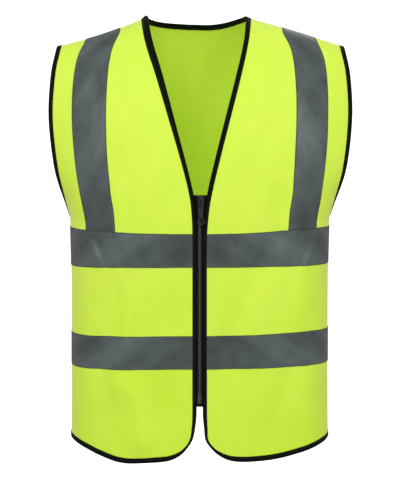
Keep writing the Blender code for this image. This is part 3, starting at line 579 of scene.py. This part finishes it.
def reflectiveTape():
    place, finish = startMaterial("reflective tape", {"Metallic": 0.35, "Specular IOR Level": 0.4})
    u, v = measure(place)
    middle = form["tapeWidth"] / 2
    fromEdge = middle - (v - middle).size()
    beads = place.noise(2600.0, 1.0)
    cloudy = place.noise(22.0, 4.0, 0.6)
    slanted = place.node("CombineXYZ", {}, {0: u * 10.0 + v * 15.0, 1: v * 6.0})  # slanted creases: raised in the relief, with their shade and reflection painted into the colour
    creasesWithPaintedShade = slanted.noise(1.0, 2.0, 0.5)
    # painted shade and reflection: the crease streaks darken and lighten the tape, among random clouds and
    # beads
    shade = (cloudy.ease(0.25, 0.75) * 0.35 + creasesWithPaintedShade.ease(0.34, 0.66) * 0.5 + beads * 0.2)
    face = shade.blend(tapeLook["dark"], tapeLook["pale"])
    # painted shade: a thin darker strip along each edge of the tape, where its raised edge would shade
    border = 1 - fromEdge.ease(tapeLook["hem"] * 0.55, tapeLook["hem"] * 1.25)
    face = (border * 0.85).blend(face, tapeLook["border"])
    fromStitches = (fromEdge - tapePiece["stitchIn"]).size()
    pucker = u.wave(tapeLook["stitch"]) * (1 - fromStitches.ease(0.0, 0.003))
    broad = bump(place.noise(48.0, 3.0) * 0.5 + creasesWithPaintedShade, 0.0030, 0.5)
    fine = fromStitches.ease(0.0, 0.0009) * 0.6 + pucker * 0.25 + beads * 0.12
    return finish(face, 0.40 + cloudy * 0.16 + border * 0.3, bump(fine, 0.0003, 0.6, broad))


def wovenBlack(name, across, along, pale=0.006):
    place, finish = startMaterial(name, {"Specular IOR Level": 0.08})
    u, v = measure(place)
    ribs = v.wave(along)
    weave = ribs * 0.6 + ribs * u.wave(across) * 0.4
    cloudy = place.noise(60.0, 3.0)
    shade = (weave * 0.25 + cloudy * 0.9).ease(0.1, 0.9)
    black = shade.blend(color(0.002, 0.0035, 0.0015), color(pale * 0.70, pale, pale * 0.50))
    return finish(black, 0.62 + cloudy * 0.2, bump(weave, 0.00015, 0.6))


def grained(name, settings, grain, dark, pale, rough, relief):
    place, finish = startMaterial(name, settings)
    grain = place.noise(*grain)
    return finish(grain.blend(color(*dark), color(*pale)), rough[0] + grain * rough[1], bump(grain, *relief))


def threadLook(name, tone):
    return grained(name, {"Specular IOR Level": 0.3, "Sheen Weight": 0.2}, (1800.0, 1.0),
                   [c * 0.6 for c in tone], tone, (0.5, 0.3), (0.0001, 0.5))


def mouldedTeeth():
    return grained("moulded teeth", {"Specular IOR Level": 0.5, "Coat Roughness": 0.2}, (900.0, 2.0),
                   (0.030, 0.034, 0.032), (0.062, 0.068, 0.064), (0.20, 0.2), (0.00004, 0.4))


def gunmetal():
    place, finish = startMaterial(
        "lacquered slider", {"Metallic": 0.85, "Coat Weight": 0.35, "Coat Roughness": 0.12})
    grain = place.noise(700.0, 3.0)
    smear = place.noise(160.0, 2.0)
    grey = smear.ease(0.3, 0.7).blend(color(0.016, 0.018, 0.017), color(0.050, 0.054, 0.052))
    return finish(grey, 0.16 + smear * 0.16 + grain * 0.06, bump(grain, 0.00003, 0.4))


def overlockEdge():  # thread loops over a cut edge, u along the seam
    place, finish = startMaterial("overlocked edge", {"Specular IOR Level": 0.3, "Sheen Weight": 0.2})
    u, v = measure(place)
    loops = (u * (2 * math.pi / 0.0022) + v * 350.0).sine()
    chains = v.wave(0.0024)
    shade = (loops * 0.4 + chains * 0.15 + place.noise(300.0, 2.0)).ease(-0.1, 1.0)
    yellow = shade.blend(color(0.42, 0.58, 0.030), color(0.68, 0.86, 0.12))
    return finish(yellow, 0.65 + loops * 0.1, bump(loops + chains * 0.4, 0.0004, 0.8))


tapePiece = {"thickness": 0.0006, "lift": 0.0008, "edgeLift": 0.00055, "valley": 0.00012, "hem": 0.0012,
             "stitchIn": 0.0021, "stitchHalf": 0.0005}
looks = {
    "overlock": overlockEdge(), "cloth": knitCloth(), "tape": reflectiveTape(),
    "binding": wovenBlack("binding weave", 0.0009, 0.0011),
    "zipTape": wovenBlack("zip tape weave", 0.0012, 0.0008, 0.014),
    "teeth": mouldedTeeth(), "metal": gunmetal(),
    "greyThread": threadLook("grey thread", (0.16, 0.17, 0.16)),
    "blackThread": threadLook("black thread", (0.020, 0.024, 0.020)),
}
print("materials made")


def dress(thing, look, replaced=()):
    thing.data.materials.clear()
    thing.data.materials.append(looks[look])
    if replaced:
        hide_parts(*replaced)
    return thing


panel = {"thickness": 0.0008}


def clothPanel(name, node, side, columns, sign):
    rows = steps(0, topRow)
    points = clothSurface(side, rows, columns, sign)[0]
    lengths = clothLengths(points)
    lengths[..., 0] += (abs(points[:, :1, 0]) if side < 0 else points[:, :1, 0])
    lengths[..., 1] -= lengths[np.argmin(abs(rows - armpitRow)), :, 1]
    thing = gridObject(name, points, lengths, facing(side, sign) > 0)
    thicken(thing, panel["thickness"])
    dress(thing, "cloth", (node,))
    return thing


for half, sign in halves:
    clothPanel("frontPanel" + half, "front_" + half.lower(), -1, steps(0, 13), sign)
clothPanel("backPanel", "back_panel", 1, steps(-14, 14), 0)
print("panels cut")

tapeAcross = np.array([0, 0.0005, 0.0011, 0.0016, 0.0021, 0.0026, 0.0034, 0.0048, 0.0070, 0.0100, 0.0135,
                       0.0170, 0.0210, 0.0250])
tapeAcross = np.concatenate([tapeAcross, form["tapeWidth"] - tapeAcross[-2::-1]])
tapes = []


def addBand(level, node, side, sign, ends, length, sewnFrom=None):
    start, end = ends
    tapes.append({
        "stem": level + "Band", "form": "", "node": f"{level}_band_{node}", "side": side, "sign": sign,
        "first": bandRows[level], "panel": sign, "length": length, "along": steps(start, end),
        "sewn": steps(start if sewnFrom is None else sewnFrom, end)})


def addBrace(node, side, sign, length):
    along = steps(armpitRow - 1, topRow)
    along[0] += 0.02
    tapes.append({
        "stem": "shoulder", "form": "Tape", "node": "brace_tape_" + node, "side": side, "sign": sign,
        "first": None, "panel": sign if side < 0 else 0, "length": length, "along": along,
        "sewn": steps(armpitRow - 0.94, topRow)})


for half, sign in halves:
    for level in bandRows:
        addBand(level, "front_" + half.lower(), -1, sign, (0, sideColumns[-1]), 0.262, 0.35)
    addBrace("front_" + half.lower(), -1, sign, 0.330)
    addBrace("back_" + half.lower(), 1, sign, 0.325)
for level in bandRows:
    addBand(level, "back", 1, 0, (-sideColumns[1], sideColumns[1]), 0.500)


def tapeSurface(tape, across, along):  # points across the tape, then along it
    side, sign = tape["side"], tape["sign"]
    if tape["first"] is not None:
        return clothSurface(side, tape["first"] + across / form["tapeWidth"] * tapeRows, along, sign)
    columns = tapeStart[side] + across / form["tapeWidth"] * tapeColumns
    if side > 0 and sign < 0:  # the back counts its columns from the right side to the left
        columns = -columns[::-1]
    surface = clothSurface(side, along, columns, sign if side < 0 else 0)
    return [part.swapaxes(0, 1) for part in surface]


def tapeLift(distance):
    edge = np.minimum(distance, form["tapeWidth"] - distance)
    low, high = tapePiece["edgeLift"], tapePiece["lift"]
    return (low + (high - low) * soft(edge / tapePiece["hem"])
            - tapePiece["valley"] * hump(edge - tapePiece["stitchIn"], 0.0006))


def placeName(tape, kind):  # shoulderTapeFrontLeft, upperBandStitchesBack and so on
    words = tape["node"].split("_")[2:]
    return tape["stem"] + kind + "".join(word.capitalize() for word in words)


for tape in tapes:
    points, normals = tapeSurface(tape, tapeAcross, tape["along"])
    points = points + normals * tapeLift(tapeAcross)[:, None, None]
    lengths = clothLengths(points)
    lengths[..., 1] = tapeAcross[:, None]
    turned = facing(tape["side"], tape["sign"] if tape["side"] < 0 else 0) > 0
    thing = gridObject(placeName(tape, tape["form"]), points, lengths, turned == (tape["first"] is not None))
    thicken(thing, tapePiece["thickness"])
    dress(thing, "tape", (tape["node"],))
print("tapes laid")


bound = {"step": 0.0026, "half": 0.00125, "edgeWidth": 0.0076, "neckWidth": 0.0097, "gap": 0.0005,
         "lap": 0.0001, "stitchAt": 0.24, "stitchHigh": 0.80}
boundSeams = {}  # where each binding is sewn: path, normals and how far the faces stand off


def smoothLoop(values, times):
    for _ in range(times):
        values = (np.roll(values, 1, axis=0) + 2 * values + np.roll(values, -1, axis=0)) / 4
    return values


def evenLoop(points, *others):  # the same loop at even steps
    around = np.concatenate([points, points[:1]])
    reach = np.concatenate([[0], np.cumsum(np.linalg.norm(np.diff(around, axis=0), axis=1))])
    count = round(reach[-1] / bound["step"])
    at = np.linspace(0, reach[-1], count, endpoint=False)
    result = []
    for values in (points,) + others:
        values = values.reshape(len(points), -1)
        looped = np.concatenate([values, values[:1]])
        result.append(np.stack([np.interp(at, reach, looped[:, k]) for k in range(looped.shape[1])], axis=1))
    return [at] + result


def boundEdge(name, nodes, points, normals, away, width):
    keep = np.linalg.norm(points - np.roll(points, 1, axis=0), axis=1) > 2e-4
    at, points, normals, away, width = evenLoop(points[keep], normals[keep], unit(away)[keep], width[keep])
    points = smoothLoop(points, 2)
    tangents = unit(np.roll(points, -1, axis=0) - np.roll(points, 1, axis=0))
    normals = smoothLoop(normals, 3)
    normals = unit(normals - tangents * np.sum(normals * tangents, axis=1, keepdims=True))
    out = np.cross(tangents, normals)
    out *= np.where(np.sum(out * smoothLoop(away, 3), axis=1) < 0, -1, 1)[:, None]
    w = width[:, 0] + bound["gap"]
    half = bound["half"] * (1 + 0.06 * np.sin(at * 310) + 0.05 * np.sin(at * 97 + 1))
    profile = [(-bound["lap"] + 0 * w, 0.78)] + [(w * across, up) for across, up in (
        (0.08, 0.98), (bound["stitchAt"], bound["stitchHigh"]), (0.38, 1.02), (0.55, 1.10), (0.74, 1.04),
        (0.88, 0.86), (0.96, 0.55), (1.0, 0.16))]
    profile += [(across, -up) for across, up in profile[::-1]]
    profile.append(profile[0])
    ring = [points + out * across[:, None] + normals * (half * up)[:, None] for across, up in profile]
    ring = np.stack(ring, axis=1)
    ring = np.concatenate([ring, ring[:1]])
    lengths = clothLengths(ring)
    lengths[..., 1] = np.append(at, at[-1] + bound["step"])[:, None]
    thing = gridObject(name, ring, lengths, False)
    shape = bmesh.new()
    shape.from_mesh(thing.data)
    bmesh.ops.remove_doubles(shape, verts=shape.verts, dist=1e-6)
    bmesh.ops.recalc_face_normals(shape, faces=shape.faces)
    shape.to_mesh(thing.data)
    shape.free()
    dress(thing, "binding", nodes)
    seam = points + out * (w * bound["stitchAt"])[:, None]
    boundSeams[name] = (seam, normals, half * bound["stitchHigh"])
    return thing


def edgeRun(side, sign, rows, columns, along):  # a panel's edge, with the way out of the panel
    points, normals = clothSurface(side, rows, columns, sign)
    if along in ("first", "last"):
        points, normals = points.swapaxes(0, 1), normals.swapaxes(0, 1)
    end, inner = (0, 1) if along in ("low", "first") else (-1, -2)
    return points[end], normals[end], points[end] - points[inner]


def chain(runs):  # runs of edge joined end to end, each with its widths
    return [np.concatenate([np.asarray(run[k]) for run in runs]) for k in range(4)]


def edgeWidth(points, sign):
    x, z = points[:, 0], points[:, 2]
    half = ("left" if sign > 0 else "right") + "Binding"
    width = readTable(frontEdge, np.maximum(z, form["cornerTop"]), half)
    width = width + (bound["edgeWidth"] - width) * soft((form["cornerTop"] - 0.020 - z) / 0.030)
    off = np.hypot(abs(x) - cornerPinch["x"], z - cornerPinch["z"])
    return width - cornerPinch["width"] * hump(off, cornerPinch["reach"])


def flipped(run):
    return tuple(part[::-1] for part in run)


def plainRun(run):
    return run + (np.full(len(run[0]), bound["edgeWidth"]),)


for half, sign in halves:
    up = edgeRun(-1, sign, steps(armpitRow, topRow), steps(12.5, 13), "last")
    backColumns = steps(13.5, 14) if sign > 0 else steps(-14, -13.5)
    down = flipped(edgeRun(1, 0, steps(armpitRow, topRow), backColumns, "last" if sign > 0 else "first"))
    up[2][:3], down[2][-3:] = (0, 0, 1), (0, 0, 1)
    boundEdge("armholeBinding" + half, ("armhole_binding_" + half.lower(),),
                               *chain([plainRun(up), plainRun(down)]))

hems, edges = {}, {}
for half, sign in halves:
    hem = flipped(edgeRun(-1, sign, steps(0, 0.5), steps(0, 13), "low"))
    hems[half] = hem + (edgeWidth(hem[0], sign),)
    edge = edgeRun(-1, sign, steps(0, topRow), steps(0, 0.5), "first")
    edge[2][0] = (0, 0, -1)
    edges[half] = edge + (edgeWidth(edge[0], sign),)
neck = edgeRun(1, 0, steps(topRow - 0.5, topRow), steps(-neckColumns, neckColumns), "high")
neck = neck + (np.full(len(neck[0]), bound["neckWidth"]),)
under = plainRun(edgeRun(1, 0, steps(0, 0.5), steps(-14, 14), "low"))
boundEdge("edgeBinding", ("edge_binding",), *chain([
    hems["Left"], edges["Left"], flipped(neck), flipped(edges["Right"]), flipped(hems["Right"]), under]))

print("bindings folded")

# stitching: short raised threads along each seam, on both faces
stitch = {"length": 0.0026, "gap": 0.0007, "width": 0.00027, "height": 0.00020, "lift": 0.00008,
          "every": 1}


def sewn(shape, path, normals):
    reach = np.concatenate([[0], np.cumsum(np.linalg.norm(np.diff(path, axis=0), axis=1))])
    count = int(reach[-1] / (stitch["length"] + stitch["gap"]))
    at = (np.arange(0, count, stitch["every"]) + 0.5) * reach[-1] / count
    half = stitch["length"] / 2

    def along(values, where):
        return np.stack([np.interp(where, reach, values[:, k]) for k in range(3)], axis=1)

    behind, ahead = along(path, at - half), along(path, at + half)
    ways = unit(ahead - behind)
    over = unit(np.cross(along(normals, at), ways))
    ups = np.cross(ways, over)
    sizes = (half, stitch["width"], stitch["height"])
    for k, centre in enumerate((ahead + behind) / 2):
        axes = [Vector(axis[k]) * size for axis, size in zip((ways, over, ups), sizes)]
        place = Matrix([(*(axis[i] for axis in axes), centre[i]) for i in range(3)] + [(0, 0, 0, 1)])
        bmesh.ops.create_icosphere(shape, subdivisions=1, radius=1.0, matrix=place)


def bothFaces(shape, path, normals, outer, inner):
    sewn(shape, path + normals * (outer + stitch["lift"]), normals)
    sewn(shape, path - normals * (inner + stitch["lift"]), -normals)


for tape in tapes:
    shape = bmesh.new()
    for edge in (tapePiece["stitchIn"], form["tapeWidth"] - tapePiece["stitchIn"]):
        beside = edge + np.array([-1, 0, 1]) * tapePiece["stitchHalf"]
        points, normals = tapeSurface(tape, beside, tape["sewn"])
        top = float(tapeLift(np.array(edge))) + tapePiece["thickness"] / 2
        bothFaces(shape, points[1], normals[1], top, panel["thickness"] / 2)
    dress(meshObject(placeName(tape, "Stitches"), shape, flatAbove=180), "greyThread")
for name, (path, normals, stand) in boundSeams.items():
    shape = bmesh.new()
    path, normals = (np.concatenate([line, line[:1]]) for line in (path, normals))
    stand = float(np.mean(stand))
    bothFaces(shape, path, normals, stand, stand)
    dress(meshObject(name.replace("Binding", "Stitches"), shape, flatAbove=180), "blackThread")

allowance = {"width": 0.0100, "thickness": 0.0012, "inward": 0.0012}


def seamAllowance(name, rows, columns, along):  # the overlocked edges, turned to the back
    points, normals = clothSurface(1, rows, columns, 0)
    points = points - normals * allowance["inward"]
    lengths = clothLengths(points)
    if along == "up":
        lengths = lengths[..., ::-1].copy()
    thing = gridObject(name, points, lengths, True)
    thicken(thing, allowance["thickness"])
    dress(thing, "overlock")


for half, sign in halves:
    side = sorted((sign * 13.73, sign * 13.98))
    seamAllowance("sideSeam" + half, steps(0.05, armpitRow - 0.1), np.linspace(*side, 5), "up")
    over = sorted((sign * neckColumns, sign * 13.8))
    seamAllowance("shoulderSeam" + half, np.linspace(topRow - 0.52, topRow - 0.02, 5), steps(*over), "across")
print("seams sewn")

# the zip leans a little to the wearer's left at its top
swing = frame["record"]["behaviour"]["joints"][0]
zipForm = {"top": -0.2635, "bottom": -0.5780, "leanEnd": -0.320, "lean": 0.0018, "setBack": 0.0023,
           "tapeInner": 0.00002, "tapeThick": 0.0007, "corded": 0.0034, "cordReach": 0.0009,
           "cordRise": 0.0005}
teethForm = {"pitch": 0.0039, "outer": 0.0029, "past": 0.0010, "tall": 0.00172, "thick": 0.0028,
             "round": 0.00035, "start": 0.0175, "end": 0.0160}
boxForm = {"low": 0.0016, "high": 0.0165, "parting": 0.0008, "slit": 0.00012, "half": 0.0030, "thick": 0.0034,
           "round": 0.00055}


def zipCentre(z):
    z = np.asarray(z, float)
    lean = zipForm["lean"] * soft((z - zipForm["leanEnd"]) / (zipForm["top"] - zipForm["leanEnd"]))
    level = z - form["armpit"]
    y = clothPoint(-1, 0.0, np.where(level > 0, level / -form["armpit"], level))[..., 1] + zipForm["setBack"]
    return np.stack([lean, y, z], axis=-1)


def block(shape, *spans):  # a box from its two ends along each axis
    low, high = (Vector(ends) for ends in zip(*(sorted(span) for span in spans)))
    place = Matrix.Translation((low + high) / 2) @ Matrix.Diagonal((*(high - low), 1))
    bmesh.ops.create_cube(shape, size=1, matrix=place)


def about(middle, size):
    return middle - size / 2, middle + size / 2


def eased(shape, width, segments=2):  # all edges rounded
    bmesh.ops.bevel(shape, geom=shape.edges[:], offset=width, offset_type="OFFSET", affect="EDGES",
                    segments=segments, profile=0.5, material=-1, clamp_overlap=True)


def zipTape(name, node, sign):
    z = np.append(np.arange(zipForm["bottom"], zipForm["top"], 0.0025), zipForm["top"])
    across = [0, 0.0012, 0.0021, 0.0026, 0.0031, 0.0036, 0.0041, 0.0052, 0.0075, 0.0105, 0.0130, 0.0157]
    out = zipForm["tapeInner"] + np.array(across)
    cord = zipForm["cordRise"] * hump(out - zipForm["corded"], zipForm["cordReach"])
    points = zipCentre(z)[:, None, :] + np.stack([sign * out, 0.0006 - cord, 0 * out], axis=-1)
    lengths = np.stack(np.broadcast_arrays(out[None, :], z[:, None]), axis=-1)
    thing = gridObject(name, points, lengths, sign < 0)
    thicken(thing, zipForm["tapeThick"])
    dress(thing, "zipTape", (node,))


for half, sign in halves:
    zipTape("zipTape" + half, "zip_tape_" + half.lower(), sign)


def zipTeeth():  # the two sides' teeth take turns
    shape = bmesh.new()
    z, sign = zipForm["bottom"] + teethForm["start"], -1
    while z < zipForm["top"] - teethForm["end"]:
        x, y = zipCentre(z)[:2]
        block(shape, (x + sign * teethForm["outer"], x - sign * teethForm["past"]),
              about(y, teethForm["thick"]), about(z, teethForm["tall"]))
        z, sign = z + teethForm["pitch"] / 2, -sign
    eased(shape, teethForm["round"])
    dress(meshObject("zipTeeth", shape), "teeth", ("zip_chain",))


def bottomBox():  # the moulded box and the pin beside it
    shape = bmesh.new()
    low, high = zipForm["bottom"] + boxForm["low"], zipForm["bottom"] + boxForm["high"]
    y, parting, slit = float(zipCentre(low)[1]), boxForm["parting"], boxForm["slit"]
    block(shape, (-boxForm["half"], parting - slit), about(y, boxForm["thick"]), (low, high))
    block(shape, (parting + slit, boxForm["half"]), about(y, boxForm["thick"] * 0.85), (low + 0.0004, high))
    eased(shape, boxForm["round"], 3)
    dress(meshObject("zipBottomBox", shape), "teeth", ("zip_chain",))


zipTeeth()
bottomBox()

sliderForm = {"height": 0.0150, "plate": 0.0014, "gap": 0.0003, "wide": 0.0052, "narrow": 0.0040,
              "crown": 0.14, "foot": 0.10, "dish": 0.00035, "post": 0.0022, "bridgeInner": 0.0022,
              "bridgeOuter": 0.0036, "bridgeWidth": 0.0022, "flange": 0.0009, "wall": 0.0009, "edge": 0.00025}


def movedPoints(geometry):
    return [item for item in geometry if isinstance(item, bmesh.types.BMVert)]


def sliderPlate(shape, x, y, low, thickness):  # widest above its middle, with round shoulders
    place = Matrix.Translation((x, y, low)) @ Matrix.Rotation(math.pi / 2, 4, "X")
    made = bmesh.ops.create_grid(shape, x_segments=8, y_segments=16, size=0.5, matrix=place)["verts"]
    for vert in made:
        across, t = (vert.co.x - x) * 2, vert.co.z - low + 0.5
        half = sliderForm["narrow"] + (sliderForm["wide"] - sliderForm["narrow"]) * float(soft(t / 0.65))
        crown = float(np.clip(1 - (1 - t) / sliderForm["crown"], 0, 1))
        foot = float(np.clip(1 - t / sliderForm["foot"], 0, 1))
        half *= math.sqrt(1 - 0.55 * crown * crown) * (1 - 0.30 * foot**2)
        dish = sliderForm["dish"] * (1 - across * across)
        vert.co = (x + across * half, y - math.copysign(dish, thickness), low + t * sliderForm["height"])
    shape.faces.index_update()
    faces = sorted({face for vert in made for face in vert.link_faces}, key=lambda face: face.index)
    raised = bmesh.ops.extrude_face_region(shape, geom=faces)["geom"]
    bmesh.ops.translate(shape, vec=(0, thickness, 0), verts=movedPoints(raised))


def slider():
    hinge = Vector(swing["pos_m"])
    low, high = zipForm["top"] - sliderForm["height"], zipForm["top"]
    y = float(zipCentre((low + high) / 2)[1])
    front, back = about(y, teethForm["thick"] + 2 * sliderForm["gap"])
    shape = bmesh.new()
    sliderPlate(shape, hinge.x, front, low, -sliderForm["plate"])
    sliderPlate(shape, hinge.x, back, low, sliderForm["plate"])
    block(shape, about(hinge.x, sliderForm["post"]), (front - 0.0003, back + 0.0003),
          (high - 0.0050, high - 0.0012))
    for sign in (-1, 1):  # folded side walls, with a slot for the zip tape
        edge = hinge.x + sign * (sliderForm["wide"] - 0.0006)
        for at, way in ((front, 1), (back, -1)):
            wall = (at - way * 0.0004, at + way * sliderForm["flange"])
            block(shape, about(edge, sliderForm["wall"]), wall, (low + 0.0045, high - 0.0035))
    inner, outer, half = sliderForm["bridgeInner"], sliderForm["bridgeOuter"], sliderForm["bridgeWidth"] / 2
    corners = [shape.verts.new((hinge.x + x, hinge.y, hinge.z + r))
               for x, r in ((-half, inner), (half, inner), (half, outer), (-half, outer))]
    section = shape.faces.new(corners)
    turned = bmesh.ops.spin(shape, geom=[section] + section.edges[:] + corners, cent=hinge, axis=(1, 0, 0),
                            angle=math.pi, steps=12, use_merge=False)["geom_last"]
    legs = (0, front - sliderForm["plate"] / 2 - hinge.y, 0)
    for group in ([v for v in corners if v.is_valid], movedPoints(turned)):
        near = {face for v in group for face in v.link_faces}
        faces = [face for face in near if all(v in group for v in face.verts)]
        leg = bmesh.ops.extrude_face_region(shape, geom=faces)["geom"]
        bmesh.ops.translate(shape, vec=legs, verts=movedPoints(leg))
    bmesh.ops.recalc_face_normals(shape, faces=shape.faces[:])
    thing = dress(meshObject("zipSlider", shape), "metal", ("zip_slider",))
    rounded = thing.modifiers.new("rounded edges", "BEVEL")
    rounded.width, rounded.segments, rounded.limit_method = sliderForm["edge"], 2, "ANGLE"
    rounded.angle_limit, rounded.harden_normals = math.radians(50), True


pullForm = {"length": 0.0385, "top": 0.0007, "half": 0.0039, "waist": 0.0034, "thick": 0.0014,
            "edge": 0.00025, "corner": 0.0006, "taper": -0.0155, "neck": 0.0072, "ring": 0.0057,
            "hole": 0.0036, "slotHalf": 0.0020, "slotRound": 0.0007,
            "slots": ((0.0007, 0.0075), (0.0090, 0.0140))}


def ringPoints(x, z, radius, start, end, count):
    turns = np.linspace(start, end, count)
    return [(x + radius * math.sin(t), z + radius * math.cos(t)) for t in turns]


def roundedSlot(half, top, bottom, radius):
    x, high, low = half - radius, top - radius, bottom + radius
    return [point for quarter, centre in enumerate(((x, high), (x, low), (-x, low), (-x, high)))
            for point in ringPoints(*centre, radius, quarter * math.pi / 2, (quarter + 1) * math.pi / 2, 5)]


def pullTab():  # a slotted bar with a ring at its end
    size = pullForm
    ringZ = -size["length"] + size["ring"]
    join = math.asin(size["waist"] / size["ring"])
    half, top, cut, edge = size["half"], size["top"], size["corner"], size["edge"]
    side = [(half - cut, top), (half, top - cut), (half, size["taper"])]
    side += [(size["waist"], ringZ + size["neck"])]
    outline = [(-x, z) for x, z in side[::-1]] + side
    outline += ringPoints(0, ringZ, size["ring"], join, 2 * math.pi - join, 40)
    holes = [ringPoints(0, ringZ, size["hole"], 0, 2 * math.pi * 31 / 32, 32)]
    holes += [roundedSlot(size["slotHalf"], -high, -low, size["slotRound"]) for high, low in size["slots"]]
    drawn = bpy.data.curves.new("pull outline", "CURVE")
    drawn.dimensions, drawn.fill_mode = "2D", "BOTH"
    drawn.extrude, drawn.offset = size["thick"] / 2 - edge, -edge
    drawn.bevel_depth, drawn.bevel_resolution = edge, 2
    for line in [outline] + holes:
        spline = drawn.splines.new("POLY")
        spline.points.add(len(line) - 1)
        for point, (x, z) in zip(spline.points, line):
            point.co = (x, z, 0, 1)
        spline.use_cyclic_u = True
    flat = bpy.data.objects.new("pull outline", drawn)
    mesh = bpy.data.meshes.new_from_object(flat)
    bpy.data.objects.remove(flat)
    mesh.transform(Matrix.Translation(swing["pos_m"]) @ Matrix.Rotation(math.pi / 2, 4, "X"))
    shape = bmesh.new()
    shape.from_mesh(mesh)
    bmesh.ops.remove_doubles(shape, verts=shape.verts, dist=1e-6)
    bmesh.ops.recalc_face_normals(shape, faces=shape.faces[:])
    dress(meshObject("zipPull", shape, "pull_tab"), "metal", ("zip_pull",))


slider()
pullTab()
print("zip made")

# camera, light and floor
bpy.context.scene.view_settings.view_transform = "Standard"
view = {"distance": 5.0, "tilt": 4.0, "aim": (0.00045, 0.0, -0.3396), "lens": 3276 * 36 / 480}
camera = bpy.data.cameras.new("camera")
camera.lens = view["lens"]
camera.sensor_width = 36
camera.clip_end = 60
eye = shown("camera", camera)
tilt = math.radians(view["tilt"])
eye.location = Vector(view["aim"]) + view["distance"] * Vector((0, -math.cos(tilt), math.sin(tilt)))
eye.rotation_euler = (math.pi / 2 - tilt, 0, 0)
bpy.context.scene.camera = eye

studio = {"floor": -1.25, "reach": 14.0, "height": 16.0, "ambient": 0.30, "overhead": 0.17, "front": 0.24,
          "sides": 0.26}
shape = bmesh.new()  # the floor, with a plain wall all round it
bmesh.ops.create_circle(shape, cap_ends=True, segments=96, radius=studio["reach"],
                        matrix=Matrix.Translation((0, 0, studio["floor"])))
rim = [edge for edge in shape.edges if edge.is_boundary]
raised = bmesh.ops.extrude_edge_only(shape, edges=rim)["geom"]
bmesh.ops.translate(shape, vec=(0, 0, studio["height"]), verts=movedPoints(raised))
floor = shown("floor", meshOf("floor", shape))
floor.visible_diffuse = floor.visible_glossy = floor.visible_shadow = False
pale = bpy.data.materials.new("pale floor")
pale.use_nodes = True
for key, value in (("Base Color", color(0.85, 0.85, 0.85)), ("Roughness", 0.9),
                   ("Emission Color", color(1, 1, 1)), ("Emission Strength", 0.9)):
    pale.node_tree.nodes["Principled BSDF"].inputs[key].default_value = value
floor.data.materials.append(pale)

world = bpy.context.scene.world or bpy.data.worlds.new("studio")  # soft, stronger from above and in front
bpy.context.scene.world = world
world.use_nodes = True
sky = Shade(world.node_tree, None)
way = sky.node("TexCoord")
upward, forward, sideways = way.part(2), way.part(1) * -1.0, way.part(0).size()
glow = (studio["ambient"] + upward.ease(-0.2, 0.9) * studio["overhead"]
        + forward.ease(0.1, 1.0) * studio["front"] + sideways.ease(0.3, 1.0) * studio["sides"])
backdrop = world.node_tree.nodes["Background"]
backdrop.inputs["Color"].default_value = color(1.0, 1.0, 1.0)
world.node_tree.links.new(glow.socket, backdrop.inputs["Strength"])

lamps = (
    {"name": "key", "place": (-0.8, -2.5, 1.5), "size": 1.3, "power": 27},
    {"name": "fill", "place": (1.7, -2.6, 1.2), "size": 1.6, "power": 19},
    {"name": "rear", "place": (1.0, 3.0, 1.6), "size": 1.8, "power": 20},
)
for lamp in lamps:
    light = bpy.data.lights.new(lamp["name"], "AREA")
    light.size, light.energy = lamp["size"], lamp["power"]
    holder = shown(lamp["name"], light)
    holder.location = lamp["place"]
    aim = Vector((0, 0, -0.35)) - Vector(lamp["place"])
    holder.rotation_euler = aim.to_track_quat("-Z", "Y").to_euler()
print("studio lit")

print("done")
